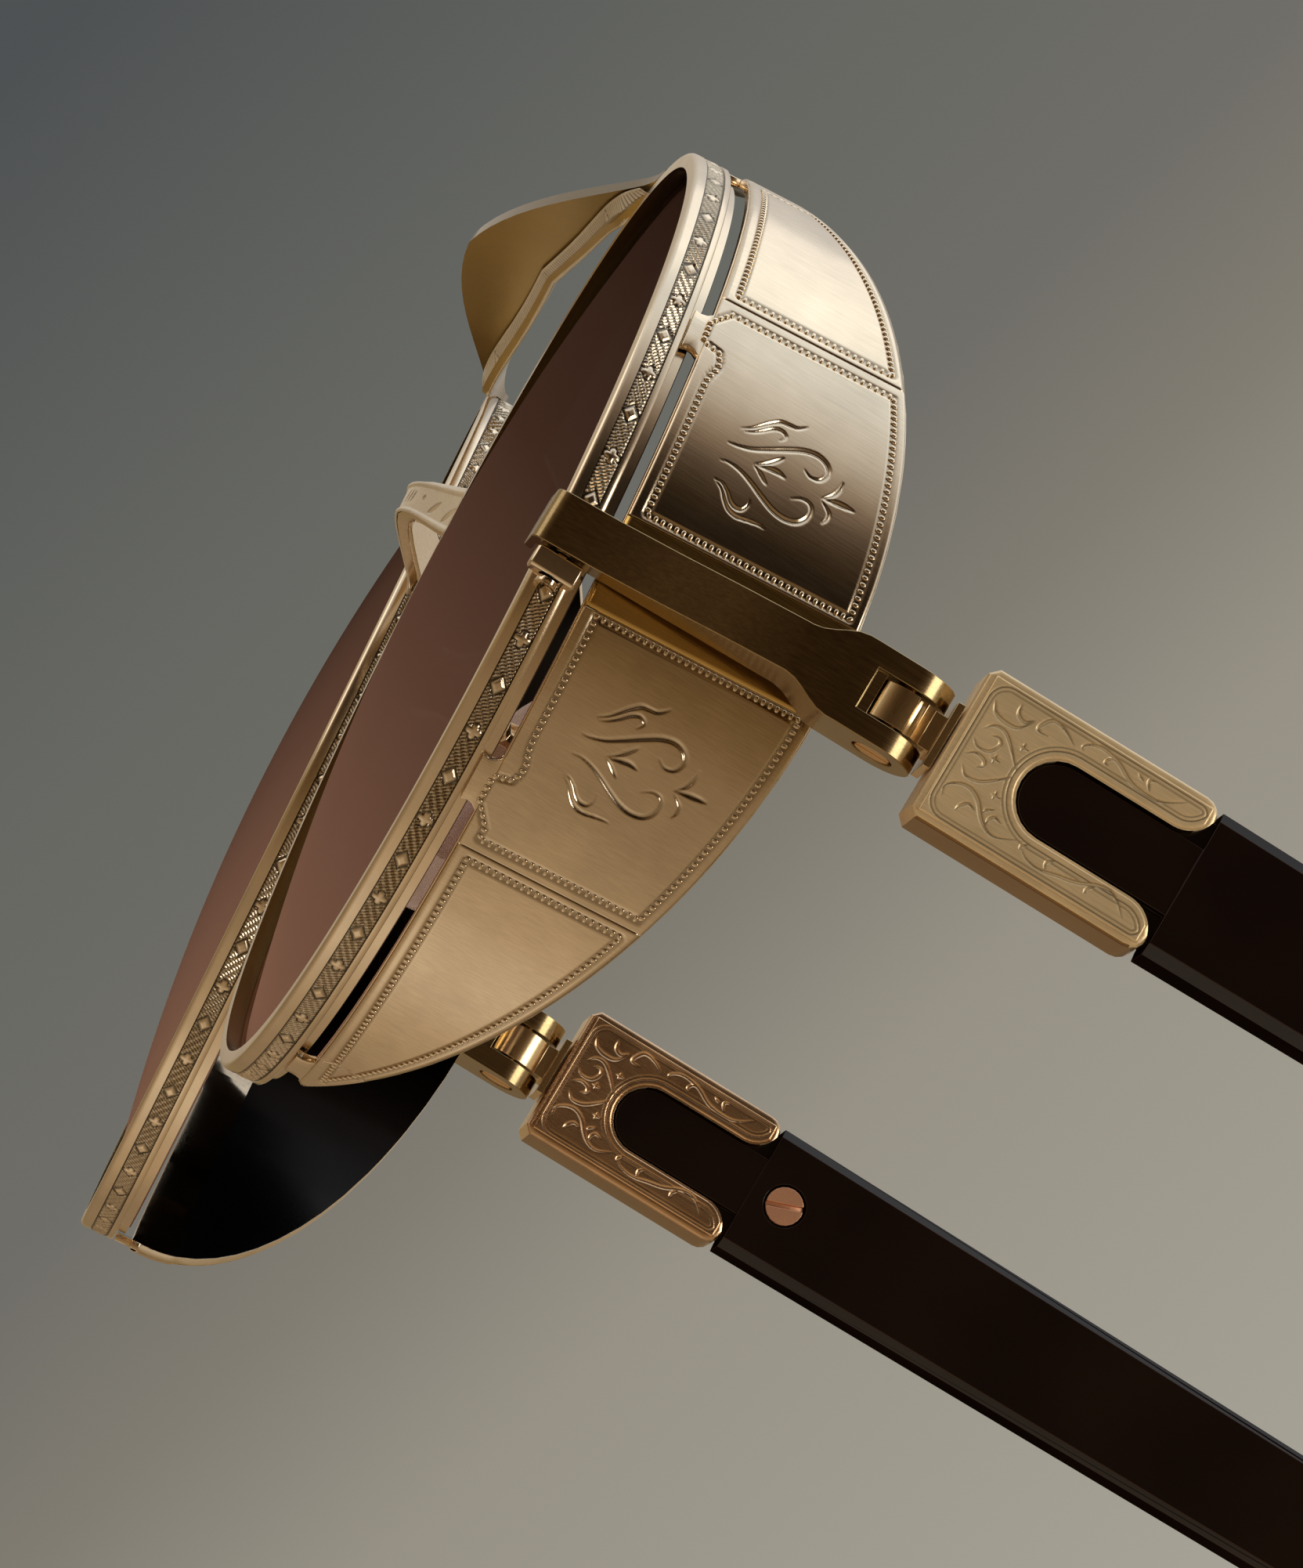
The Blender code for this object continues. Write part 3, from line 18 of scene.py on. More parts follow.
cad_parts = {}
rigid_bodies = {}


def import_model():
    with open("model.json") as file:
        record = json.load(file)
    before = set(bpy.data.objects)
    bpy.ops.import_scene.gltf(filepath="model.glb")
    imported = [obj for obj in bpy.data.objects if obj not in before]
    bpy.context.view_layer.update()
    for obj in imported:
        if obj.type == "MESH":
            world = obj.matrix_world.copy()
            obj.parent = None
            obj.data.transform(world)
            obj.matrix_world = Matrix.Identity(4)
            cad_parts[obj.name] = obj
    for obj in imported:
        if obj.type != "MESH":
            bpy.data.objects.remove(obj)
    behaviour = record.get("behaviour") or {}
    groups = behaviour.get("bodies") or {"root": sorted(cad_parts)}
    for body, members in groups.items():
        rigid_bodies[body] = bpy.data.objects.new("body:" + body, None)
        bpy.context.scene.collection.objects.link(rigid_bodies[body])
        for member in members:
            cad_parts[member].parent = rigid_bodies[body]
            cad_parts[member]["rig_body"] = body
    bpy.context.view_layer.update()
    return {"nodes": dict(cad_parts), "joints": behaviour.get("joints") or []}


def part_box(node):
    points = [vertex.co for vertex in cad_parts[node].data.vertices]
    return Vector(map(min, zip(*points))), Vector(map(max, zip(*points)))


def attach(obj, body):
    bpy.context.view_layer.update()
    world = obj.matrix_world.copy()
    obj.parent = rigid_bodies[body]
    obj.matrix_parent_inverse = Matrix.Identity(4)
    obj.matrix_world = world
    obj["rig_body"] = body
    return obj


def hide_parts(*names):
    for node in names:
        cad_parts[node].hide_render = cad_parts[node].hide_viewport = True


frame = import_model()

MM = 0.001
FLAT_ANGLE = math.radians(0.6)

# %% [markdown]
# ## The layout that the engraving follows
#
# The engraving has to sit on the rims and shields exactly, so it is laid out in the rim's own axes: a
# radius, an angle that runs from the top over the temple side, and a depth behind the rim's front. The
# rim's centre is found from the hinge, whose place the frame gives. Left pieces are made, and right
# pieces are their mirror images.

# %% Rim axes
RIM_MM = 25.5
RIM_RADIUS = RIM_MM * MM
RIM_TILT = math.radians(5.0)
FACE_WRAP = math.radians(2.4)
HINGE_FROM_RIM = Vector((28.85, 19.45, 0.65)) * MM

hinge = Vector(next(j["pos_m"] for j in frame["joints"] if j["name"] == "temple_left_fold"))
rim_centre = hinge - HINGE_FROM_RIM
rim_turn = Matrix.Rotation(FACE_WRAP, 4, "Z") @ Matrix.Rotation(RIM_TILT, 4, "X")
rim_place = Matrix.Translation(rim_centre) @ rim_turn
rim_axis = rim_turn.to_3x3() @ Vector((0, 1, 0))
back_to_rim = rim_place.inverted()
turn_back = rim_turn.to_3x3().transposed()
print("rim centre", [round(c / MM, 3) for c in rim_centre])


# %% Points on a cylinder about the rim's axis, and mirror images
def mirrored(vector, mirror):
    """The vector as it is, or with -1 its mirror image on the right side."""
    return Vector((mirror * vector[0], vector[1], vector[2]))


def on_rim(radius, angle, depth):
    """Arrays of points in the model's axes from a radius, an angle and a depth."""
    local = np.stack([radius * np.sin(angle), depth + 0 * angle, radius * np.cos(angle)], axis=-1)
    turn = np.array(rim_place.to_3x3())
    return local @ turn.T + np.array(rim_place.translation)


# %% [markdown]
# ## Camera
#
# The photograph is taken from the wearer's left, a little in front and from below, with a long lens, so
# that both temples run almost parallel across the picture. The camera stands where lines and ellipses
# in the picture meet the frame's own sizes.

# %% Camera
VIEW_FROM_RIM = Vector((592.077, -20.414, -125.845)) * MM
VIEW_AHEAD = Vector((-0.97746, 0.05494, 0.20385))
VIEW_UP = Vector((0.14573, -0.52307, 0.83974))
SENSOR_HEIGHT = 36.0
FOCAL_LENGTH = 280.2

view_point = rim_centre + VIEW_FROM_RIM

backward = -VIEW_AHEAD.normalized()
rightward = VIEW_UP.cross(backward).normalized()
upward = backward.cross(rightward)
camera_turn = Matrix((rightward, upward, backward)).transposed()
camera_data = bpy.data.cameras.new("camera")
camera_data.sensor_fit = "VERTICAL"
camera_data.sensor_height = SENSOR_HEIGHT
camera_data.lens = FOCAL_LENGTH
camera_data.clip_start = 0.01
camera_data.clip_end = 50.0
camera = bpy.data.objects.new("camera", camera_data)
camera.matrix_world = Matrix.Translation(view_point) @ camera_turn.to_4x4()
bpy.context.scene.collection.objects.link(camera)
bpy.context.scene.camera = camera
bpy.context.scene.view_settings.view_transform = "Standard"
print("camera distance", round((view_point - rim_centre).length, 3), "m")


# %% [markdown]
# ## Small helpers
#
# A material is a small tree of nodes. The helpers below keep each tree short to read: one makes a node,
# sets its values by name and returns it, the next starts a material with its shader, and one joins them.

# %% Node helpers
def node(tree, kind, **values):
    """A new node; values for sockets are given by name with spaces as underscores."""
    made = tree.nodes.new(kind)
    for name, value in values.items():
        socket = name.replace("_", " ")
        if hasattr(made, name):
            setattr(made, name, value)
        else:
            made.inputs[socket].default_value = value
    return made


def start_material(name, **values):
    material = bpy.data.materials.new(name)
    material.use_nodes = True
    tree = material.node_tree
    shader = tree.nodes["Principled BSDF"]
    for socket, value in values.items():
        shader.inputs[socket.replace("_", " ")].default_value = value
    return material, tree, shader


def wire(tree, *links):
    """Join nodes; each link is (node, its output, node, its input)."""
    for source, output, target, socket in links:
        tree.links.new(source.outputs[output], target.inputs[socket])


def colour_ramp(tree, stops):
    ramp = node(tree, "ShaderNodeValToRGB")
    elements = ramp.color_ramp.elements
    while len(elements) < len(stops):
        elements.new(0.5)
    for element, (place, colour) in zip(elements, stops):
        element.position = place
        element.color = (*colour, 1.0)
    return ramp


def shaded(colour, factor):
    return tuple(c * factor for c in colour)


# %% Meshes and the bmeshes that edit them
def bm_of(mesh):
    bm = bmesh.new()
    bm.from_mesh(mesh)
    return bm


def put_back(bm, mesh):
    bm.to_mesh(mesh)
    bm.free()


def mesh_of(name, bm):
    mesh = bpy.data.meshes.new(name)
    put_back(bm, mesh)
    return mesh


# %% [markdown]
# ## Floor, backdrop and light
#
# The camera is lower than the floor, so the floor is only there from above: its back face lets light
# through. Mirror-like reflections pass it as well, so that the metal's undersides see the warm lower half
# of the sky instead of a flat sheet. The backdrop glows with painted light: a grey that grows lighter and
# warmer towards the lower right, as a wall does beside a window.

# %% Square sheets of the set
def set_sheet(name, half):
    """A square sheet that belongs to the set, so it is staged and isn't part of the glasses."""
    bm = bmesh.new()
    bmesh.ops.create_grid(bm, x_segments=1, y_segments=1, size=half)
    sheet = bpy.data.objects.new(name, mesh_of(name, bm))
    bpy.context.scene.collection.objects.link(sheet)
    return sheet


# %% Floor
FLOOR_HALF = 1.6
FLOOR_GAP = 0.1 * MM
FLOOR_COLOUR = (0.60, 0.51, 0.39, 1)

floor = set_sheet("floor", FLOOR_HALF)
floor.location.z = -FLOOR_GAP
floor_material, tree, shader = start_material("floor", Base_Color=FLOOR_COLOUR, Roughness=0.9)
facing = node(tree, "ShaderNodeNewGeometry")
ray = node(tree, "ShaderNodeLightPath")
open_floor = node(tree, "ShaderNodeMath", operation="MAXIMUM")
clear = node(tree, "ShaderNodeBsdfTransparent")
either = node(tree, "ShaderNodeMixShader")
wire(tree, (facing, "Backfacing", open_floor, 0), (ray, "Is Glossy Ray", open_floor, 1),
     (open_floor, 0, either, 0), (shader, 0, either, 1), (clear, 0, either, 2),
     (either, 0, tree.nodes["Material Output"], "Surface"))
floor.data.materials.append(floor_material)
print("floor", 2 * FLOOR_HALF, "m wide")

# %% Backdrop
BACKDROP_DISTANCE = 3.0
BACKDROP_HALF = 0.27
# Painted light: the backdrop's glow grows lighter and warmer towards the lower right of the picture.
PAINTED_LIGHT_RIGHT = 0.45
PAINTED_LIGHT_DOWN = 0.55
IMAGE_SHAPE = 1664 / 2002
BACKDROP_LIGHT_STOPS = [(0.03, (0.078, 0.084, 0.087)), (0.285, (0.133, 0.136, 0.122)), (0.45, (0.160, 0.155, 0.138)),
              (0.56, (0.218, 0.202, 0.168)), (0.68, (0.310, 0.284, 0.236)), (1.0, (0.390, 0.365, 0.310))]
HALF_HIGH = BACKDROP_DISTANCE * SENSOR_HEIGHT / 2 / FOCAL_LENGTH
HALF_WIDE = HALF_HIGH * IMAGE_SHAPE

backdrop = set_sheet("backdrop", BACKDROP_HALF)
backdrop.matrix_world = (Matrix.Translation(view_point + VIEW_AHEAD * BACKDROP_DISTANCE)
                         @ camera_turn.to_4x4())
backdrop_material, tree, shader = start_material("backdrop")
tree.nodes.remove(shader)
where = node(tree, "ShaderNodeTexCoord")
along = node(tree, "ShaderNodeVectorMath", operation="DOT_PRODUCT")
along.inputs[1].default_value = (PAINTED_LIGHT_RIGHT / HALF_WIDE, -PAINTED_LIGHT_DOWN / HALF_HIGH, 0)
spread = node(tree, "ShaderNodeMapRange", From_Min=-1.0, From_Max=1.0)
ramp = colour_ramp(tree, BACKDROP_LIGHT_STOPS)
glow = node(tree, "ShaderNodeEmission")
wire(tree, (where, "Object", along, 0), (along, "Value", spread, "Value"),
     (spread, "Result", ramp, "Fac"), (ramp, "Color", glow, "Color"),
     (glow, 0, tree.nodes["Material Output"], "Surface"))
backdrop.data.materials.append(backdrop_material)
print("backdrop fills", round(2 * HALF_WIDE, 3), "x", round(2 * HALF_HIGH, 3), "m of the picture")

# %% [markdown]
# ## Sky and softboxes
#
# A metal piece is drawn by what it reflects, so the sky does most of the work: warm and dim below, pale
# and bright above. Photographers hang a black cloth, a flag, beside the camera to give metal its dark
# side. Here it is a long soft patch of the sky, and the end pieces and the middle of the shields see it.
# Three weak softboxes add what the sky lacks: a sheen on the brushed faces and a soft shadow.

# %% Sky
# Sky colours as (share of the height from the lowest to the highest point, colour).
SKY_STOPS = [(0.005, (0.62, 0.52, 0.40)), (0.03, (0.49, 0.38, 0.27)), (0.07, (0.42, 0.32, 0.21)),
             (0.13, (0.35, 0.26, 0.17)), (0.20, (0.30, 0.22, 0.14)), (0.36, (0.265, 0.188, 0.112)),
             (0.48, (0.235, 0.165, 0.075)), (0.60, (0.48, 0.41, 0.32)), (0.75, (0.60, 0.58, 0.55)),
             (0.90, (0.73, 0.76, 0.82)), (1.0, (0.82, 0.90, 1.0))]
# The flag darkens the sky by (cosine of the angle to its middle, colour).
FLAG_TOWARDS = (0.8965, 0.108, 0.4296)
FLAG_TILT = 0.30
FLAG_LENGTH = 2.0
FLAG_STOPS = [(0.62, (1.0, 1.0, 1.0)), (0.755, (0.82, 0.77, 0.73)), (0.84, (0.66, 0.60, 0.54)),
              (0.906, (0.37, 0.28, 0.21)), (0.956, (0.13, 0.092, 0.065)), (0.988, (0.045, 0.028, 0.014)),
              (1.0, (0.012, 0.007, 0.003))]
world = bpy.data.worlds.new("studio")
world.use_nodes = True
bpy.context.scene.world = world
tree = world.node_tree
where = node(tree, "ShaderNodeTexCoord")
split = node(tree, "ShaderNodeSeparateXYZ")
spread = node(tree, "ShaderNodeMapRange", From_Min=-1.0, From_Max=1.0)
ramp = colour_ramp(tree, SKY_STOPS)
squeeze = node(tree, "ShaderNodeMapping", vector_type="TEXTURE", Rotation=(FLAG_TILT, 0, 0),
               Scale=(1.0, FLAG_LENGTH, 1.0))
unit = node(tree, "ShaderNodeVectorMath", operation="NORMALIZE")
towards = node(tree, "ShaderNodeVectorMath", operation="DOT_PRODUCT")
towards.inputs[1].default_value = FLAG_TOWARDS
flag = colour_ramp(tree, FLAG_STOPS)
hung = node(tree, "ShaderNodeMix", data_type="RGBA", blend_type="MULTIPLY", Factor=1.0)
wire(tree, (where, "Generated", squeeze, "Vector"), (squeeze, "Vector", unit, 0),
     (unit, "Vector", towards, 0), (towards, "Value", flag, "Fac"), (ramp, "Color", hung, "A"),
     (flag, "Color", hung, "B"), (where, "Generated", split, 0), (split, "Z", spread, "Value"),
     (spread, "Result", ramp, "Fac"), (hung, "Result", tree.nodes["Background"], "Color"))
print("sky of", len(SKY_STOPS), "colours with a flag of", len(FLAG_STOPS))


# %% Softboxes
LAMPS_LOOK_AT = Vector((0, 0, 0.02))


def softbox(name, place, size, power, colour):
    """A square area lamp that looks at the glasses: its place and size in metres, its power in watts."""
    lamp = bpy.data.lights.new(name, "AREA")
    lamp.shape = "SQUARE"
    lamp.size = size
    lamp.energy = power
    lamp.color = colour
    box = bpy.data.objects.new(name, lamp)
    box.location = place
    aim = LAMPS_LOOK_AT - Vector(place)
    box.rotation_euler = aim.to_track_quat("-Z", "Y").to_euler()
    bpy.context.scene.collection.objects.link(box)


softbox("overhead", (-0.32, -0.05, 1.10), 0.8, 0.75, (1.0, 0.99, 0.98))
softbox("front_fill", (0.30, -1.2, 0.5), 0.8, 1.6, (1.0, 0.95, 0.9))
softbox("side_fill", (0.85, 0.95, 0.45), 0.6, 4.5, (1.0, 0.96, 0.90))
print(len(bpy.data.lights), "softboxes")

# %% [markdown]
# ## Metal finishes
#
# The metal is plated in a pale champagne gold, with warmer and darker tones where hands and polish have
# worn it. Most of it is brushed along the temples' direction: fine grooves, which a noise texture
# stretched along that direction gives to the roughness and the bump. Engraved grooves are darker, partly
# from a patina and partly as painted shade for the shadow inside the cut. The relief pieces carry an
# attribute named cut, which is 1 at the bottom of a groove, and the colour follows it. One function makes
# every tone, so that all of them share the same grain.


# %% Brushed and polished metal
def brushed_metal(name, colour, roughness, metallic=1.0, grain=(26, 1.2, 26), ridge=0.9, wear=0.12,
                  groove_shade_and_patina=0.0, streak=0.08):
    """A metal with brushed streaks and worn clouds.

    grain is the number of streaks per millimetre along X, Y and Z, ridge their height in microns. wear
    and streak are shares of the colour, and groove_shade_and_patina is how much darker the engraved
    grooves are, as patina and painted shade together.
    """
    material, tree, shader = start_material(name, Metallic=metallic)
    where = node(tree, "ShaderNodeTexCoord")
    stretch = node(tree, "ShaderNodeMapping", Scale=[lines / MM for lines in grain])
    streaks = node(tree, "ShaderNodeTexNoise", Scale=1.0, Detail=3.0, Roughness=0.6)
    clouds = node(tree, "ShaderNodeTexNoise", Scale=0.22 / MM, Detail=3.0, Roughness=0.55)
    tone = colour_ramp(tree, [(0.30, shaded(colour, 1 - wear)), (0.70, shaded(colour, 1 + wear / 2))])
    sheen = node(tree, "ShaderNodeMapRange", From_Min=0.3, From_Max=0.7, To_Min=1 - streak,
                 To_Max=1 + streak)
    brushed = node(tree, "ShaderNodeMix", data_type="RGBA", blend_type="MULTIPLY", Factor=1.0)
    dull = node(tree, "ShaderNodeMapRange", To_Min=roughness * 0.75, To_Max=roughness * 1.25)
    grooves = node(tree, "ShaderNodeBump", Strength=1.0, Distance=ridge * MM / 1000)
    wire(tree, (where, "Object", stretch, "Vector"), (stretch, "Vector", streaks, "Vector"),
         (where, "Object", clouds, "Vector"), (clouds, "Fac", tone, "Fac"),
         (streaks, "Fac", sheen, "Value"), (tone, "Color", brushed, "A"), (sheen, "Result", brushed, "B"),
         (streaks, "Fac", dull, "Value"), (dull, "Result", shader, "Roughness"),
         (streaks, "Fac", grooves, "Height"), (grooves, "Normal", shader, "Normal"))
    paint = brushed
    # Painted shade and patina: the grooves darken where the cut attribute is high.
    if groove_shade_and_patina:
        depth = node(tree, "ShaderNodeAttribute", attribute_name="cut")
        paint = node(tree, "ShaderNodeMix", data_type="RGBA", B=(*shaded(colour, 1 - groove_shade_and_patina), 1))
        wire(tree, (depth, "Fac", paint, "Factor"), (brushed, "Result", paint, "A"))
    wire(tree, (paint, "Result", shader, "Base Color"))
    return material


CHAMPAGNE = (0.86, 0.71, 0.51)
ALONG = (9, 0.6, 14)
EVEN = (6, 6, 6)
ROUND_PIN = (3, 22, 9)

# %% Metals of the front
shield_metal = brushed_metal("shield_metal", CHAMPAGNE, 0.17, grain=(13, 0.4, 13), ridge=1.3, groove_shade_and_patina=0.5)
# A deeper, darker gold for the plain strip under the end piece: painted shade.
strip_shade_metal = brushed_metal("strip_shade_metal", (0.72, 0.48, 0.16), 0.22, grain=(13, 0.4, 13), ridge=1.5)
rim_metal = brushed_metal("rim_metal", CHAMPAGNE, 0.20, grain=(9, 9, 9), ridge=0.4, groove_shade_and_patina=0.88,
                          streak=0.03)
bar_metal = brushed_metal("bar_metal", (0.38, 0.28, 0.14), 0.20, grain=(9, 0.25, 9), ridge=2.5, streak=0.16)

# %% Metals of the sleeves and hinges
sleeve_metal = brushed_metal("sleeve_metal", (0.97, 0.74, 0.42), 0.36, metallic=0.5, grain=ALONG, ridge=1.2,
                             groove_shade_and_patina=0.8)
# Redder and darker brasses for the sleeves' inner and lower faces: painted shade.
lower_shade_brass = brushed_metal("lower_shade_brass", (0.38, 0.21, 0.065), 0.24, grain=ALONG, ridge=1.0)
inner_shade_brass = brushed_metal("inner_shade_brass", (0.92, 0.62, 0.36), 0.27, grain=ALONG, ridge=1.2, wear=0.3)
hinge_metal = brushed_metal("hinge_metal", (0.84, 0.64, 0.36), 0.20, grain=(4, 20, 2), ridge=0.8)
pin_metal = brushed_metal("pin_metal", (0.95, 0.60, 0.26), 0.25, grain=ROUND_PIN, ridge=0.8)

# %% Metals of the brow bar and the bridge
visor_metal = brushed_metal("visor_metal", (0.66, 0.46, 0.13), 0.42, grain=EVEN, ridge=0.2, wear=0.05)
ribbon_metal = brushed_metal("ribbon_metal", (0.92, 0.80, 0.62), 0.24, metallic=0.4, grain=(9, 9, 9),
                             ridge=0.3, groove_shade_and_patina=0.75)
# A dark olive metal for the rims' bores: painted shade inside the rim.
bore_shade_metal = brushed_metal("bore_shade_metal", (0.26, 0.21, 0.08), 0.16, grain=EVEN, ridge=0.2)
# The brow bar's faces that don't face down take this dark metal: painted shade.
shaded_edge_metal = brushed_metal("shaded_edge_metal", (0.22, 0.18, 0.13), 0.14, grain=EVEN, ridge=0.2)

# %% Metals of small pieces and linings
polished_metal = brushed_metal("polished_metal", CHAMPAGNE, 0.10, grain=EVEN, ridge=0.2, wear=0.06)
copper_metal = brushed_metal("copper_metal", (0.95, 0.50, 0.29), 0.36, metallic=0.6, grain=ROUND_PIN,
                             ridge=2.0)
steel_metal = brushed_metal("steel_metal", (0.52, 0.50, 0.47), 0.3, ridge=0.6)
shield_lining = brushed_metal("shield_lining", (0.014, 0.012, 0.011), 0.2, grain=(5, 5, 5), ridge=0.15)
# A bright polished metal for a patch inside the shields: a painted highlight on the black lining.
highlight_polish = brushed_metal("highlight_polish", (0.86, 0.74, 0.56), 0.045, grain=(5, 5, 5), ridge=0.08,
                             wear=0.05)
print(len(bpy.data.materials), "materials so far")

# %% [markdown]
# ## Lens, acetate and silicone
#
# The lenses are dipped in dye and drawn out slowly, which leaves them dark brown at the top and rose brown
# below, so the tint is a ramp over height. The tint also grows a little darker towards the temples, which
# is painted shade that leaves the side by the nose lighter. Sun lenses carry an anti-glare coat, so their
# gloss fades where the view grazes them. The temples are acetate that is nearly black, with a faint
# wine-brown cloud inside and a polish, and their bevels are a touch redder because light passes the thin
# edge. The nose pads are soft, pinkish and slightly see-through.

# %% Lens tint
lens_low, lens_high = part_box("lens_left")
TINT_DOWN = 0.80
# Painted shade: the tint darkens towards the temples, so the side by the nose stays lighter.
TINT_SHADE_ASIDE = 0.24
TINT_STOPS = [(0.04, (0.62, 0.35, 0.245)), (0.24, (0.40, 0.22, 0.16)), (0.46, (0.225, 0.120, 0.086)),
              (0.68, (0.104, 0.052, 0.036)), (0.95, (0.040, 0.020, 0.013))]

lens_glass, tree, shader = start_material("lens_glass", Roughness=0.05, IOR=1.5, Alpha=0.9,
                                          Specular_IOR_Level=0.25)
where = node(tree, "ShaderNodeTexCoord")
split = node(tree, "ShaderNodeSeparateXYZ")
aside = node(tree, "ShaderNodeMath", operation="ABSOLUTE")
height = node(tree, "ShaderNodeMapRange", From_Min=lens_low.z, From_Max=lens_high.z, To_Max=TINT_DOWN)
width = node(tree, "ShaderNodeMapRange", From_Min=lens_low.x, From_Max=lens_high.x, To_Max=TINT_SHADE_ASIDE)
depth = node(tree, "ShaderNodeMath", operation="ADD")
tint = colour_ramp(tree, TINT_STOPS)
wire(tree, (where, "Object", split, 0), (split, "Z", height, "Value"), (split, "X", aside, 0),
     (aside, 0, width, "Value"), (height, "Result", depth, 0), (width, "Result", depth, 1),
     (depth, 0, tint, "Fac"), (tint, "Color", shader, "Base Color"))


# %% Gloss that fades towards a grazing view
def fade_gloss(tree, shader, start, end):
    """start and end are the shares of a grazing view at which the gloss begins to fade and is gone."""
    glance = node(tree, "ShaderNodeLayerWeight", Blend=0.5)
    gloss = node(tree, "ShaderNodeMapRange", From_Min=start, From_Max=end, To_Min=0.5, To_Max=0.0)
    wire(tree, (glance, "Facing", gloss, "Value"), (gloss, "Result", shader, "Specular IOR Level"))


fade_gloss(tree, shader, 0.30, 0.62)
print("tint of", len(TINT_STOPS), "colours over", round((lens_high.z - lens_low.z) / MM, 1), "mm")


# %% Clouded tones
def clouded(tree, shader, scale, dark, light, low, high):
    """Give the shader a colour that drifts between two tones; scale is clouds per millimetre."""
    where = node(tree, "ShaderNodeTexCoord")
    clouds = node(tree, "ShaderNodeTexNoise", Scale=scale / MM, Detail=2.0)
    tone = colour_ramp(tree, [(low, dark), (high, light)])
    wire(tree, (where, "Object", clouds, "Vector"), (clouds, "Fac", tone, "Fac"),
         (tone, "Color", shader, "Base Color"))


# %% Acetate
def tinted_acetate(name, dark, light):
    material, tree, shader = start_material(name, Roughness=0.10, IOR=1.47)
    fade_gloss(tree, shader, 0.15, 0.55)
    clouded(tree, shader, 0.08, dark, light, 0.35, 0.75)
    return material


acetate = tinted_acetate("acetate", (0.008, 0.0038, 0.0026), (0.016, 0.0086, 0.0056))
acetate_edge = tinted_acetate("acetate_edge", (0.024, 0.010, 0.007), (0.040, 0.018, 0.010))

# %% Silicone
silicone, tree, shader = start_material("silicone", Roughness=0.28, IOR=1.41, Transmission_Weight=0.45)
clouded(tree, shader, 0.3, (0.66, 0.46, 0.38), (0.76, 0.56, 0.47), 0.3, 0.7)
print(len(bpy.data.materials), "materials in all")

# %% [markdown]
# ## Softened copies of the solids
#
# A machined or cast piece has no knife-sharp edges: each edge catches a thin line of light. The solids
# of the frame are triangles with sharp edges, so a copy of each is merged, its flat faces are joined
# again, its edges get a small bevel, and weighted normals keep the flats flat.


# %% Copies with soft edges
def add_object(name, mesh, material, body, stands_for=(), inner=None):
    """Finish a piece: its object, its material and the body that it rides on.

    stands_for names the nodes that it replaces. inner is a second material, for faces with index 1.
    """
    obj = bpy.data.objects.new(name, mesh)
    bpy.context.scene.collection.objects.link(obj)
    indices = [face.material_index for face in mesh.polygons] if inner else None
    mesh.materials.clear()
    mesh.materials.append(material)
    if inner:
        mesh.materials.append(inner)
        mesh.polygons.foreach_set("material_index", indices)
    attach(obj, body)
    if stands_for:
        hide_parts(*stands_for)
    return obj


def merged_copy(name):
    """A solid's mesh with its loose triangles welded and its flat faces joined."""
    bm = bm_of(frame["nodes"][name].data)
    bmesh.ops.remove_doubles(bm, verts=bm.verts, dist=0.001 * MM)
    bmesh.ops.dissolve_limit(bm, angle_limit=FLAT_ANGLE, verts=bm.verts, edges=bm.edges)
    return bm


def soften(name, material, slot, edge=0.06, limit=28.0, segments=2, shape=None, edge_material=None):
    """Replace a node by its softened copy.

    edge is the bevel's width in millimetres, limit the least angle of a sharp edge in degrees, shape a
    function that changes the copy first, and edge_material a material for the bevels.
    """
    bm = merged_copy(name)
    if shape:
        shape(bm)
    sharp = [e for e in bm.edges if e.is_manifold and e.calc_face_angle(0) > math.radians(limit)]
    if edge:
        bmesh.ops.bevel(bm, geom=sharp, offset=edge * MM, offset_type="OFFSET", segments=segments,
                        profile=0.5, affect="EDGES", clamp_overlap=True, material=1 if edge_material else -1)
    mesh = mesh_of(name + "_soft", bm)
    mesh.shade_smooth()
    mesh.set_sharp_from_angle(angle=math.radians(limit + 12))
    body = frame["nodes"][name]["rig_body"]
    obj = add_object(name + "_soft", mesh, material, body, (name,), edge_material)
    weighted = obj.modifiers.new("Flats", "WEIGHTED_NORMAL")
    weighted.keep_sharp = True
    return obj


# %% [markdown]
# ## Rounded tips of the sleeves
#
# The sleeve is sawn from sheet with a U-shaped window, and a file rounds its two arms towards the window.
# A Boolean with a hollow corner piece does the same and leaves the outer corners as they are, which a
# bevel on the short rear edges wouldn't.

# %% Rounded tips of the sleeves' arms
# The sleeve's sizes in millimetres; its front is measured from the hinge.
SLEEVE_FRONT = 2.7
SLEEVE_LONG = 12.9
SLEEVE_HALF = 4.15
WINDOW_HALF = 2.0
WINDOW_FRONT = 3.9
TIP_RADIUS = 1.75
CUTTER_WIDE = 8.0
CUTTER_SPARE = 0.3
ARC_STEPS = 10


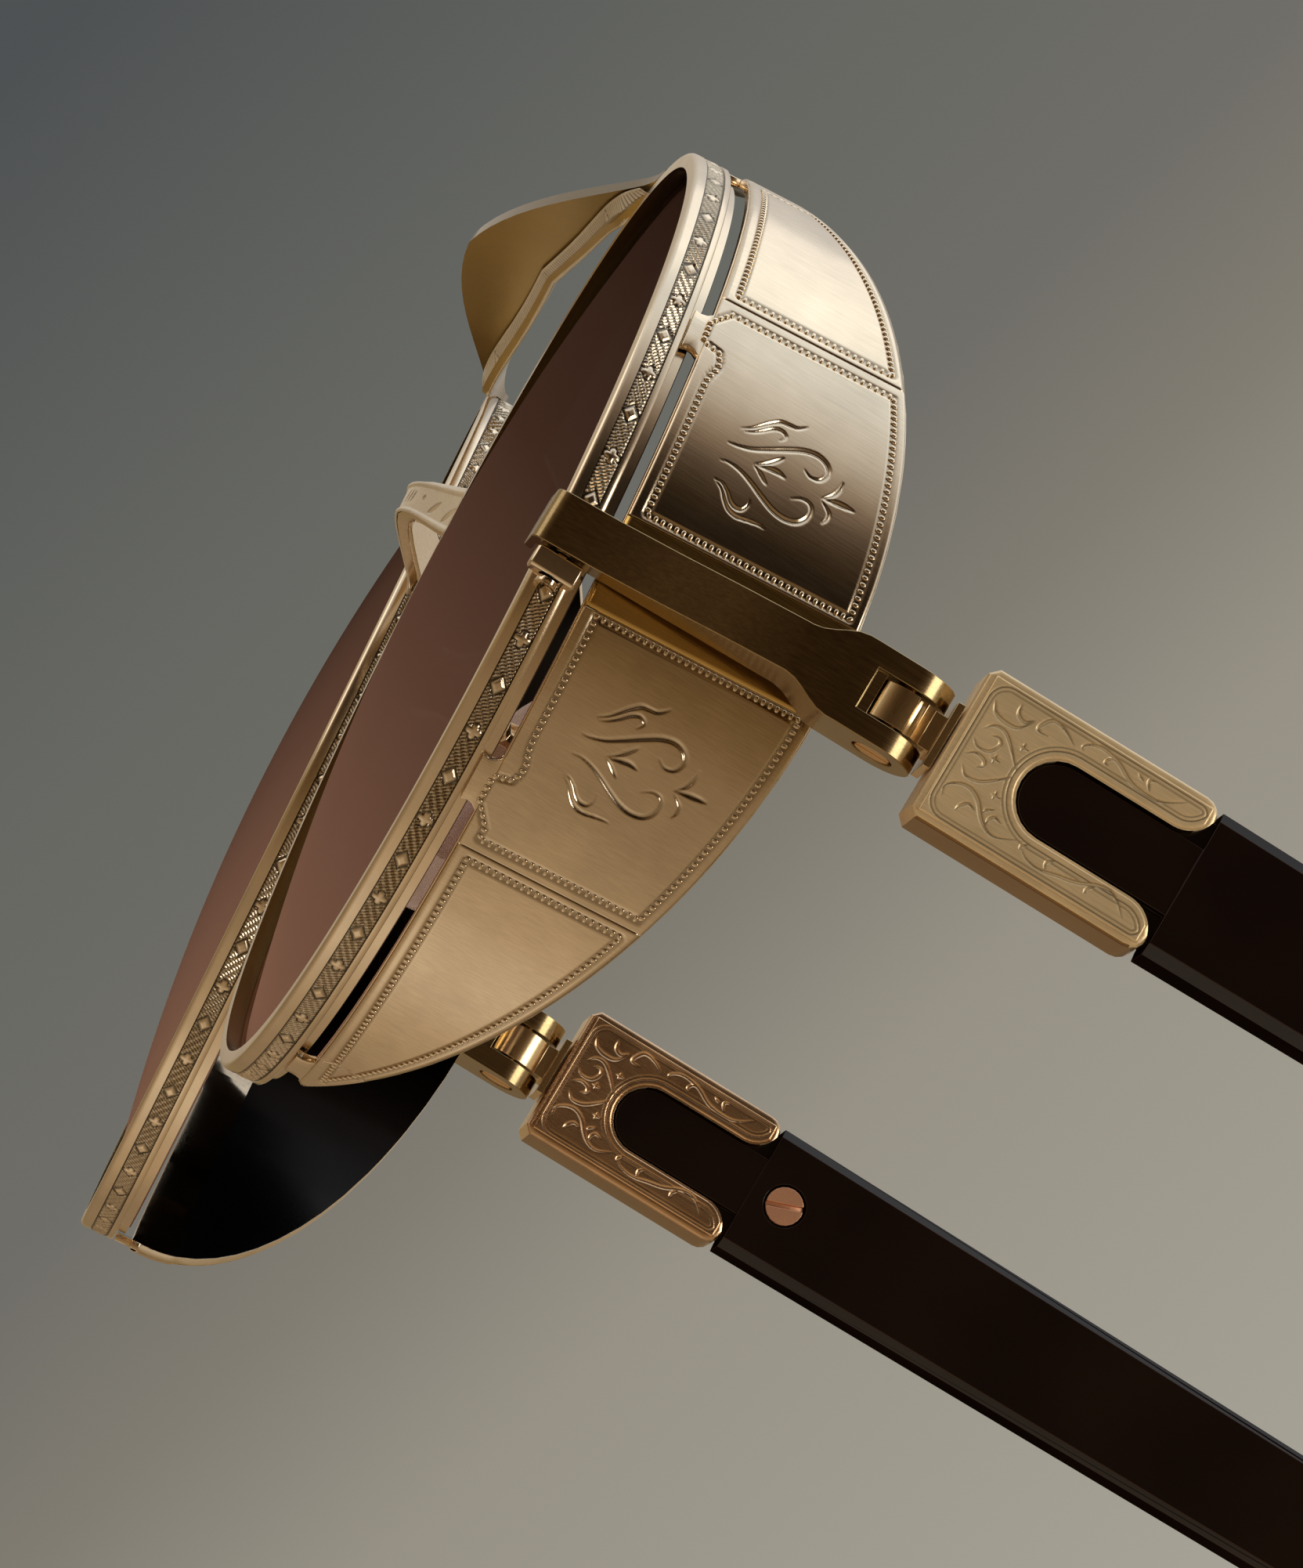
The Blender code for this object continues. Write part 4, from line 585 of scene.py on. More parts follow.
def tip_cutter():
    """Four bars whose hollow corner leaves a quarter round on an arm's tip."""
    rear = hinge.y / MM + SLEEVE_FRONT + SLEEVE_LONG
    middle_y = rear - TIP_RADIUS
    middle_z = WINDOW_HALF + TIP_RADIUS
    outline = [(rear + CUTTER_SPARE, middle_z), (rear + CUTTER_SPARE, WINDOW_HALF - CUTTER_SPARE),
               (middle_y, WINDOW_HALF - CUTTER_SPARE)]
    for step in range(ARC_STEPS + 1):
        turn = math.radians(-90 + 90 * step / ARC_STEPS)
        outline.append((middle_y + TIP_RADIUS * math.cos(turn), middle_z + TIP_RADIUS * math.sin(turn)))
    cutter = bmesh.new()
    for side in (-1, 1):
        for up in (-1, 1):
            x = side * (hinge.x / MM - CUTTER_WIDE / 2)
            corners = [cutter.verts.new((x, y, hinge.z / MM + up * z)) for y, z in outline]
            face = cutter.faces.new(corners)
            pushed = bmesh.ops.extrude_face_region(cutter, geom=[face])["geom"]
            moved = [v for v in pushed if isinstance(v, bmesh.types.BMVert)]
            bmesh.ops.translate(cutter, verts=moved, vec=(side * CUTTER_WIDE, 0, 0))
    bmesh.ops.recalc_face_normals(cutter, faces=cutter.faces)
    bmesh.ops.scale(cutter, vec=(MM, MM, MM), verts=cutter.verts)
    return mesh_of("tip_cutter", cutter)


def round_tips(bm):
    """Round the arms' rear corners on the window's side."""
    mesh = bpy.data.meshes.new("carved")
    bm.to_mesh(mesh)
    work = bpy.data.objects.new("carved", mesh)
    tool = bpy.data.objects.new("tip_cutter", tip_cutter())
    for obj in (work, tool):
        bpy.context.scene.collection.objects.link(obj)
    carve = work.modifiers.new("Tips", "BOOLEAN")
    carve.operation = "DIFFERENCE"
    carve.solver = "EXACT"
    carve.object = tool
    shaped = work.evaluated_get(bpy.context.evaluated_depsgraph_get()).to_mesh()
    bm.clear()
    bm.from_mesh(shaped)
    bpy.data.objects.remove(work)
    bpy.data.objects.remove(tool)
    bmesh.ops.dissolve_limit(bm, angle_limit=FLAT_ANGLE, verts=bm.verts, edges=bm.edges)


# %% [markdown]
# ## Rigid pieces
#
# Most pieces only need soft edges and their own finish. The wide bevels sit where a hand feels them: on
# the end pieces and the sleeves. The wires inside the temples and the moulded pads keep their shape.

# %% Rigid pieces that only need soft edges
# Each piece has its material, its slot and the width of its bevels in millimetres.
FINISHES = {
    "side_shield": (shield_metal, "shield_metal", 0.05),
    "end_piece": (bar_metal, "end_piece_metal", 0.16),
    "rim_lock": (rim_metal, "rim_metal", 0.06),
    "rim_lock_screw": (polished_metal, "rim_metal", 0.03),
    "hinge_leaf": (hinge_metal, "rim_metal", 0.05),
    "hinge_screw": (pin_metal, "screw_metal", 0.03),
    "temple_sleeve": (sleeve_metal, "rim_metal", 0.22),
    "temple": (acetate, "acetate", 0.10),
    "temple_core": (steel_metal, "core_steel", 0.0),
    "temple_screw": (copper_metal, "screw_metal", 0.04),
    "pad_arm": (polished_metal, "rim_metal", 0.04),
    "pad_screw": (polished_metal, "rim_metal", 0.03),
    "nose_pad": (silicone, "pad_silicone", 0.0),
}
EXTRAS = {
    "temple_sleeve": {"segments": 4, "shape": round_tips},
    "temple": {"edge_material": acetate_edge},
}
for piece, (material, slot, edge) in FINISHES.items():
    for side in ("left", "right"):
        made = soften(f"{piece}_{side}", material, slot, edge, **EXTRAS.get(piece, {}))
    print(piece, len(made.data.polygons), "faces")

# %% [markdown]
# ## Linings and inner faces
#
# The shields are blackened inside, so that no stray light reaches the eye. Low at the front, near the
# rim, a patch of bright polished metal breaks the black lining: a painted highlight. The sheet's faces
# are split there and sorted by the way they look. The sleeves' inner faces take a redder brass and their
# lower faces a darker one, as painted shade on the sides turned away from the light.

# %% Linings of the shields
HIGHLIGHT_DEPTH = 5.4 * MM
INWARD_LIMIT = -0.7
for side, mirror in (("left", 1), ("right", -1)):
    shell = bpy.data.objects[f"side_shield_{side}_soft"].data
    cut_open = bm_of(shell)
    border = on_rim(0.0, 0.0, HIGHLIGHT_DEPTH)
    bmesh.ops.bisect_plane(cut_open, geom=cut_open.verts[:] + cut_open.edges[:] + cut_open.faces[:],
                           plane_co=mirrored(border, mirror), plane_no=mirrored(rim_axis, mirror))
    put_back(cut_open, shell)
    shell.materials.append(shield_lining)
    shell.materials.append(highlight_polish)
    for face in shell.polygons:
        spot = back_to_rim @ mirrored(face.center, mirror)
        facing = turn_back @ mirrored(face.normal, mirror)
        outward = Vector((spot.x, 0, spot.z)).normalized()
        inside = facing.dot(outward) < INWARD_LIMIT
        # Faces low at the front, inside, take the bright patch: a painted highlight.
        polished = spot.z < 0 and spot.y < HIGHLIGHT_DEPTH
        face.material_index = (2 if polished else 1) if inside else 0
    print(f"side_shield_{side}", sum(f.material_index > 0 for f in shell.polygons), "inner faces")

# %% Inner and lower faces of the sleeves
SIDE_LIMIT = -0.3
LOWER_LIMIT = -0.8
for side, mirror in (("left", 1), ("right", -1)):
    sleeve = bpy.data.objects[f"temple_sleeve_{side}_soft"].data
    sleeve.materials.append(inner_shade_brass)
    sleeve.materials.append(lower_shade_brass)
    for face in sleeve.polygons:
        # Inner faces take the redder brass and lower faces the darker one: painted shade.
        inward = mirror * face.normal.x < SIDE_LIMIT
        below = face.normal.z < LOWER_LIMIT
        face.material_index = 1 if inward else 2 if below else 0
    print(f"temple_sleeve_{side}", sum(f.material_index > 0 for f in sleeve.polygons), "darker faces")

# %% [markdown]
# ## Brow bar and bridge
#
# The brow bar is a small visor of folded sheet: olive and satin underneath, where the camera looks. Every
# face that doesn't face down takes a darker metal, as painted shade. The bridge is a forged saddle, which
# its engraving covers in a later step.

# %% Pieces in the middle
brow = soften("brow_bar", visor_metal, "brow_metal", 0.09, segments=3).data
# Faces that don't face down take the dark metal: painted shade.
brow.materials.append(shaded_edge_metal)
for face in brow.polygons:
    face.material_index = 0 if face.normal.z < -0.5 else 1
saddle = soften("nose_bridge", polished_metal, "rim_metal", 0.10, segments=3).data
print("brow_bar", len(brow.polygons), "faces, nose_bridge", len(saddle.polygons), "faces")

# %% [markdown]
# ## Relief on a grid
#
# Engraving can be painted as bump or cut as real shape. Here it is real: a fine grid is laid on the
# metal and each vertex moves by the depth of the cut under it. A stroke of the graver is a V that
# swells and tapers, so the depth falls off with the distance to the stroke's middle line.


# %% Curves through listed points
def smooth_path(points, steps=10):
    """A Catmull-Rom curve through points, as an array."""
    p = np.array(points, float)
    p = np.vstack([2 * p[0] - p[1], p, 2 * p[-1] - p[-2]])
    t = np.arange(steps)[:, None] / steps
    parts = []
    for a, b, c, d in zip(p, p[1:], p[2:], p[3:]):
        parts.append(0.5 * (2 * b + (c - a) * t + (2 * a - 5 * b + 4 * c - d) * t ** 2
                            + (3 * b - a - 3 * c + d) * t ** 3))
    return np.vstack(parts + [p[-2:-1]])


def graver_cuts(x, y, strokes, depth):
    """Depth of V cuts at points x, y; a stroke is (half width, points), in millimetres."""
    cut = np.zeros_like(x)
    for half, points in strokes:
        path = smooth_path(points)
        swell = np.sin(np.pi * np.linspace(0.04, 0.96, len(path))) ** 0.75
        near = ((x > path[:, 0].min() - half) & (x < path[:, 0].max() + half)
                & (y > path[:, 1].min() - half) & (y < path[:, 1].max() + half))
        spot = np.stack([x[near], y[near]], -1)
        deepest = np.zeros(len(spot))
        for start, end, width in zip(path, path[1:], swell * half):
            along = end - start
            t = np.clip(((spot - start) @ along) / max(along @ along, 1e-12), 0, 1)
            away = np.hypot(*(spot - start - t[:, None] * along).T)
            deepest = np.maximum(deepest, np.clip(width - away, 0, None) / half)
        cut[near] = np.maximum(cut[near], deepest * depth)
    return cut


def dome(share):
    """Height of a round dome or roll, as a share, at a share of its half width."""
    return np.sqrt(np.clip(1 - share ** 2, 0, 1))


def zigzag(turns):
    """A ridge line that goes from 1 to 0 and back once a turn."""
    return np.abs(2 * (turns % 1.0) - 1)


def line_cut(distance, half, depth):
    """Depth of a V groove whose middle is where distance is zero."""
    return depth * np.clip(1 - np.abs(distance) / half, 0, 1)


# %% Grids that become relief
def relief_grid(name, columns, rows, lay):
    """A grid whose vertices lay(u, v) places: it returns points and how deep each is cut, 0 to 1."""
    bm = bmesh.new()
    bmesh.ops.create_grid(bm, x_segments=columns, y_segments=rows, size=0.5)
    mesh = mesh_of(name, bm)
    flat = np.empty(len(mesh.vertices) * 3)
    mesh.vertices.foreach_get("co", flat)
    flat = flat.reshape(-1, 3)
    points, cut = lay(flat[:, 0] + 0.5, flat[:, 1] + 0.5)
    mesh.vertices.foreach_set("co", np.ascontiguousarray(points, float).ravel())
    mesh.attributes.new("cut", "FLOAT", "POINT").data.foreach_set("value", cut.astype(np.float32))
    mesh.update()
    return mesh


def give_wall(obj, thickness):
    """Thicken a thin skin inwards."""
    wall = obj.modifiers.new("Skin", "SOLIDIFY")
    wall.thickness = thickness
    wall.offset = -1


def both_sides(name, mesh, material, body, thickness=0.0, stands_for=(), inner=None):
    """Make the left piece and its mirror image; the body and nodes are named with a {} for the side."""
    for side in ("left", "right"):
        copy = mesh.copy()
        if side == "right":
            copy.transform(Matrix.Scale(-1, 4, (1, 0, 0)))
            copy.flip_normals()
        copy.shade_smooth()
        nodes = [n.format(side) for n in stands_for]
        obj = add_object(name.format(side), copy, material, body.format(side), nodes, inner)
        if thickness:
            give_wall(obj, thickness)
    bpy.data.meshes.remove(mesh)
    print(name.format("left"), len(copy.polygons), "faces")


# %% [markdown]
# ## Rims
#
# Each rim is a ring with a step and a thin lip behind it. Between two plain borders its band is sunk and
# filled with a running pattern, as an engraver would chase it: slanted hatching, broken in turn by a
# raised lozenge and a flower of four petals. One long grid is bent into the rim's profile, and the
# vertices on the band's floor are raised by the pattern. Near the temple the ring is split, where the
# rim lock closes it.

# %% Rim profile
RIM_WALL = 0.9 * MM
BAND_DEPTH = 2.0 * MM
BORDER_FRONT_WIDE = 0.64 * MM
BORDER_BACK_WIDE = 0.32 * MM
FIELD_SUNK = 0.09 * MM
LIP_STEP = 0.62 * MM
RIM_DEPTH = 2.5 * MM
GROOVE_DEPTH = 0.43 * MM
FIELD_ROWS = 16
RIM_STEPS = 2800
SPLIT_ANGLE = math.radians(92.3)
SPLIT_HALF = math.radians(0.22)
FRONT_ROUND = [(0.28, 0.0), (0.17, 0.025), (0.08, 0.09), (0.02, 0.19), (0.0, 0.32)]
FIELD_SLOPE = 0.04 * MM
BACK_ROUND = 0.06 * MM
GROOVE = (0.85 * MM, 1.33 * MM, 1.77 * MM, 2.25 * MM)

bore = RIM_RADIUS - RIM_WALL
field = RIM_RADIUS - FIELD_SUNK
profile = [(RIM_RADIUS - inward * MM, depth * MM) for inward, depth in FRONT_ROUND]
profile.append((RIM_RADIUS, BORDER_FRONT_WIDE))
field_first = BORDER_FRONT_WIDE + FIELD_SLOPE
field_last = BAND_DEPTH - BORDER_BACK_WIDE - FIELD_SLOPE
for row in range(FIELD_ROWS + 1):
    share = row / FIELD_ROWS
    profile.append((field, field_first + (field_last - field_first) * share))
profile += [(RIM_RADIUS, BAND_DEPTH - BORDER_BACK_WIDE), (RIM_RADIUS, BAND_DEPTH - BACK_ROUND),
            (RIM_RADIUS - BACK_ROUND, BAND_DEPTH), (RIM_RADIUS - LIP_STEP, BAND_DEPTH),
            (RIM_RADIUS - LIP_STEP, RIM_DEPTH), (bore, RIM_DEPTH), (bore, GROOVE[3]),
            (bore + GROOVE_DEPTH, GROOVE[2]), (bore + GROOVE_DEPTH, GROOVE[1]), (bore, GROOVE[0]), (bore, 0)]
print("profile of", len(profile), "points")

# %% Pattern of the band
# Sizes in millimetres; a unit is a lozenge, hatching, a flower and hatching.
UNITS = 32
UNIT = 2 * math.pi * RIM_MM / UNITS
HATCH_PITCH = 0.21
HATCH_LEAN = 0.75
HATCH_LAND = 0.07
LOZENGE_LONG = 0.52
LOZENGE_WIDE = 0.40
LOZENGE_TALL = 0.12
FLOWER_SIZE = 0.42
FLOWER_TALL = 0.11


def petals(along, width, size):
    """Distance from a four-petalled flower as a share of its size; 1 is its outline."""
    turn = np.arctan2(width, along)
    return np.hypot(along, width) / (size * (0.55 + 0.45 * np.abs(np.cos(2 * turn))))


def band_height(angle, width):
    """Height of the pattern over the band's floor in millimetres; width is from the band's middle."""
    along = (angle / (2 * math.pi) * UNITS) % 1.0 * UNIT - UNIT / 2
    lean = zigzag((along + HATCH_LEAN * width) / HATCH_PITCH)
    height = HATCH_LAND * np.clip(lean * 2.2 - 0.5, 0, 1)
    lozenge = np.abs(along) / LOZENGE_LONG + np.abs(width) / LOZENGE_WIDE
    height = np.where(lozenge < 1.25, 0.0, height)
    height = np.where(lozenge < 1.0, LOZENGE_TALL * np.clip((1 - lozenge) * 2.0, 0, 1), height)
    flower = petals(UNIT / 2 - np.abs(along), width, FLOWER_SIZE)
    height = np.where(flower < 1.2, 0.0, height)
    return np.where(flower < 1.0, FLOWER_TALL * dome(flower), height)


# %% Bend the rim round
profile_radius, profile_depth = np.array(profile + profile[:1]).T


def lay_rim(u, v):
    """u runs round the rim from one side of the split to the other, v round the profile."""
    angle = SPLIT_ANGLE + SPLIT_HALF + u * (2 * math.pi - 2 * SPLIT_HALF)
    point = np.rint(v * len(profile)).astype(int)
    radius, depth = profile_radius[point], profile_depth[point]
    middle = (field_first + field_last) / 2
    on_field = np.abs(radius - field) < 0.001 * MM
    on_field &= np.abs(depth - middle) < (field_last - field_first) * 0.51
    width = (depth - middle) / MM
    fade = np.clip(((field_last - field_first) / MM / 2 - np.abs(width)) * 12, 0, 1)
    radius = radius + np.where(on_field, band_height(angle, width) * fade * MM, 0)
    cut = np.where(on_field, np.clip(1 - (radius - field) / (HATCH_LAND * MM), 0, 1), 0)
    return on_rim(radius, angle, depth), cut


rim_mesh = relief_grid("rim", RIM_STEPS, len(profile), lay_rim)
bm = bm_of(rim_mesh)
bmesh.ops.remove_doubles(bm, verts=bm.verts, dist=0.0005 * MM)
bmesh.ops.holes_fill(bm, edges=[e for e in bm.edges if e.is_boundary], sides=0)
put_back(bm, rim_mesh)
rim_mesh.set_sharp_from_angle(angle=math.radians(50))

# %% Painted shade in the rim's bore
for face in rim_mesh.polygons:
    spot = back_to_rim @ face.center
    face.material_index = 1 if math.hypot(spot.x, spot.z) < bore + 0.02 * MM else 0
both_sides("rim_band_{}", rim_mesh, rim_metal, "front", stands_for=["rim_{}"], inner=bore_shade_metal)

# %% [markdown]
# ## Lenses
#
# A sun lens is a thin meniscus: both faces are parts of spheres, and its edge is ground to a bevel that
# sits in the rim's groove. Spinning its profile gives the exact form, finer than the solid's facets.

# %% Spin the lens
LENS_CURVE = 108.0 * MM
LENS_THICKNESS = 1.6 * MM
LENS_EDGE = 24.45 * MM
LENS_SEAT = 1.0 * MM
LENS_BEVEL = 0.28 * MM
LENS_BACK = 2.1 * MM
LENS_RINGS = 20
LENS_STEPS = 160


def sag(radius):
    """How far a sphere's face has fallen back at a radius."""
    return LENS_CURVE - math.sqrt(LENS_CURVE ** 2 - radius ** 2)


apex = LENS_SEAT - sag(LENS_EDGE)
rings = [LENS_EDGE * i / LENS_RINGS for i in range(LENS_RINGS + 1)]
profile = [(r, apex + sag(r)) for r in rings]
profile += [(LENS_EDGE + LENS_BEVEL, GROOVE[1]), (LENS_EDGE + LENS_BEVEL, GROOVE[2]), (LENS_EDGE, LENS_BACK)]
profile += [(r, apex + LENS_THICKNESS + sag(r)) for r in reversed(rings)]
bm = bmesh.new()
corners = [bm.verts.new((0, d, r)) for r, d in profile]
for first, second in zip(corners, corners[1:]):
    bm.edges.new((first, second))
bmesh.ops.spin(bm, geom=bm.verts[:] + bm.edges[:], cent=(0, 0, 0), axis=(0, 1, 0), angle=2 * math.pi,
               steps=LENS_STEPS, use_merge=True)
bmesh.ops.remove_doubles(bm, verts=bm.verts, dist=0.001 * MM)
bmesh.ops.recalc_face_normals(bm, faces=bm.faces)
bmesh.ops.transform(bm, matrix=rim_place, verts=bm.verts)
lens_mesh = mesh_of("lens", bm)
lens_mesh.set_sharp_from_angle(angle=math.radians(30))
both_sides("lens_{}_glass", lens_mesh, lens_glass, "front", stands_for=["lens_{}"])

# %% [markdown]
# ## Side shields
#
# Each shield is a sheet bent round the rim. Its outside is divided into four panels, each framed by a
# row of beads between two fine lines, with a plain strip where the end piece passes. The two middle
# panels carry a scroll with tulips. A thin relief skin covers the sheet, made of one grid a panel, with
# its lines packed densely at the borders, where the detail is.

# %% Shield layout
# Lengths are in millimetres where they have no MM of their own.
SHIELD_RADIUS = 25.45 * MM
SHIELD_FRONT = 3.0
SHIELD_REACH = 12.6
SHIELD_END = 0.5
SHIELD_MIDDLE = math.radians(88)
SHIELD_HALF = math.radians(85)
SKIN_HEIGHT = 0.12
SKIN_WALL = 0.03 * MM
BORDER_FRONT = 3.85
BORDER_BACK = 0.70
BEAD_PITCH = 0.375
CHANNEL_HALF = 0.17
CHANNEL_DEPTH = 0.06


def shield_back(angle):
    """Depth of the sheet's rear edge in millimetres."""
    bow = (np.cos(angle - SHIELD_MIDDLE) - math.cos(SHIELD_HALF)) / (1 - math.cos(SHIELD_HALF))
    return SHIELD_FRONT + SHIELD_END + (SHIELD_REACH - SHIELD_END) * np.clip(bow, 0, None)


# %% Scroll with tulips
# Strokes as (half width, points); a point is (arc down the shield, depth) from the scroll's middle.
SCROLL = [
    (0.124, [(-0.2, -2.9), (-0.5, -2.4), (-0.9, -2.0), (-1.3, -1.6), (-1.6, -1.2), (-1.65, -0.8),
            (-1.7, -0.4), (-1.9, -0.1), (-2.1, 0.1)]),
    (0.102, [(-0.1, -2.7), (-0.3, -2.3), (-0.6, -1.9), (-1.0, -1.45), (-1.15, -1.05), (-1.0, -0.75),
            (-0.8, -0.75), (-0.55, -0.95)]),
    (0.163, [(0.85, -3.2), (0.8, -2.7), (0.6, -2.0), (0.2, -1.25), (-0.3, -0.4), (-0.7, 0.4), (-0.8, 1.1),
            (-0.55, 1.65), (-0.1, 1.85), (0.4, 1.6), (0.5, 1.1), (0.25, 0.7)]),
    (0.156, [(1.9, -3.2), (1.85, -2.7), (2.0, -2.05), (2.3, -1.4), (2.7, -0.7), (3.05, 0.0), (3.2, 0.65),
            (3.1, 1.3), (2.7, 1.7), (2.2, 1.8), (1.85, 1.6), (1.8, 1.15), (2.05, 0.65)]),
    (0.117, [(1.3, -1.65), (0.95, -1.1), (0.5, -0.65), (0.2, -0.4)]),
    (0.156, [(1.3, -1.5), (1.15, -0.9), (1.1, -0.4), (1.2, 0.0)]),
    (0.102, [(1.35, -1.6), (1.55, -1.25), (1.8, -0.95), (2.0, -0.7)]),
    (0.124, [(1.3, 2.0), (0.85, 2.45), (0.4, 2.65), (-0.1, 2.7)]),
    (0.172, [(1.25, 2.1), (1.15, 2.7), (1.1, 3.2), (1.1, 3.7)]),
    (0.109, [(1.4, 2.1), (1.8, 2.6), (2.15, 2.65), (2.5, 2.5)]),
    (0.109, [(2.95, -3.1), (3.0, -2.7), (3.3, -2.3), (3.65, -2.0), (3.85, -1.65), (3.8, -1.3), (3.45, -1.1),
            (3.1, -1.1)]),
    (0.102, [(3.0, -3.05), (3.3, -2.6), (3.7, -2.3), (4.1, -1.9), (4.25, -1.4), (4.15, -0.7), (4.1, -0.2),
            (4.15, 0.1)]),
]
SCROLL_DEPTH = 0.11


# %% Panels and their borders
BRACKET_RISE = 0.85
BRACKET_DIP = 0.30


def corner_bracket(angle, tab, towards):
    """How far the front border bulges at a tab, in millimetres; towards is the side that it opens to."""
    step = (np.degrees(angle) - tab) * towards
    on_tab = np.clip((step + 4.5) / 2.5, 0, 1) * np.clip((1.7 - step) / 0.5, 0, 1)
    round_slot = np.exp(-((step - 3.4) / 1.6) ** 2)
    return -BRACKET_RISE * on_tab + BRACKET_DIP * round_slot


# Each panel's first and last angle in degrees, the grid step between its borders, the middle of its
# scroll as (angle, depth), and the tab that its front border bulges to, with the side it opens to.
PANELS = {
    "top": dict(first=20.0, last=51.3, step=0.30, scroll=None, bracket=None),
    "upper": dict(first=54.5, last=83.0, step=0.062, scroll=(69.0, 9.2), bracket=(59.0, 1)),
    "lower": dict(first=95.5, last=122.9, step=0.062, scroll=(105.4, 8.92), bracket=(117.0, -1)),
    "bottom": dict(first=125.7, last=168.6, step=0.30, scroll=None, bracket=None),
}
SKINS = {"top": (3.2, 52.9), "upper": (52.9, 83.9), "strip": (83.9, 95.0), "lower": (95.0, 124.3),
         "bottom": (124.3, 172.8)}


def panel_front(panel, angle):
    """Depth of the panel's front border line."""
    depth = BORDER_FRONT + 0 * angle
    if panel["bracket"]:
        depth = depth + corner_bracket(angle, *panel["bracket"])
    return depth


def panel_outline(panel, spacing):
    """Evenly spaced points (angle, depth) round the middle of a panel's bead row."""
    first, last = math.radians(panel["first"]), math.radians(panel["last"])
    down = np.linspace(first, last, 240)
    front = np.maximum(panel_front(panel, down), SHIELD_FRONT - 0.35)
    back = np.maximum(shield_back(down) - BORDER_BACK, front + 0.05)
    side = np.linspace(0, 1, 60)
    loop = [np.stack([down, front], -1),
            np.stack([last + 0 * side, front[-1] + (back[-1] - front[-1]) * side], -1),
            np.stack([down[::-1], back[::-1]], -1),
            np.stack([first + 0 * side, back[0] + (front[0] - back[0]) * side], -1)]
    path = np.vstack(loop)
    flat = path * np.array([RIM_MM, 1.0])
    walked = np.concatenate([[0], np.cumsum(np.hypot(*np.diff(flat, axis=0).T))])
    count = round(walked[-1] / spacing)
    at = np.arange(count) * walked[-1] / count
    return np.stack([np.interp(at, walked, path[:, 0]), np.interp(at, walked, path[:, 1])], -1)


# %% Distance to a border
def outline_distance(angle, depth, outline):
    """Distance in millimetres from each point to the nearest point of a dense outline."""
    tree = KDTree(len(outline))
    for i, (a, d) in enumerate(outline):
        tree.insert((a * RIM_MM, d, 0), i)
    tree.balance()
    return np.array([tree.find((a * RIM_MM, d, 0))[2] for a, d in zip(angle, depth)])


# %% Packed grid lines
FINE_STEP = 0.075
PLAIN_STEP = 0.30
MARK_REACH = 0.45


def line_pace(low, high, marks, coarse):
    """Dense places from low to high and the grid lines per millimetre there: more near the marks."""
    dense = np.linspace(low, high, 4000)
    near = np.min(np.abs(dense[:, None] - np.array(marks)[None, :]), axis=1)
    return dense, np.where(near < MARK_REACH, 1 / FINE_STEP, 1 / coarse)


def packed(share, low, high, marks, coarse):
    """Spread shares 0 to 1 from low to high, with lines packed near the marks."""
    dense, pace = line_pace(low, high, marks, coarse)
    walked = np.concatenate([[0], np.cumsum((pace[1:] + pace[:-1]) / 2)])
    return np.interp(share, walked / walked[-1], dense)


def line_count(low, high, marks, coarse):
    """How many lines packed() needs from low to high."""
    dense, pace = line_pace(low, high, marks, coarse)
    return int(pace.mean() * (high - low)) + 1


# %% Rows of a skin between its front and rear edge
SKIN_INSET = 0.06
STRIP_SUNK = 0.05
HEM = 1.3


def spread_rows(even, room, front, back):
    """Depths for rows at even places 0 to room: each hem keeps its width and the middle takes the rest."""
    reach = back - front
    middle = np.clip((even - HEM) / max(room - 2 * HEM, 1e-6), 0, 1)
    inner = np.where(room - even < HEM, back - (room - even), front + HEM + (reach - 2 * HEM) * middle)
    wide = np.where(even < HEM, front + even, inner)
    return np.where(reach > 2 * HEM, wide, front + reach * even / room)


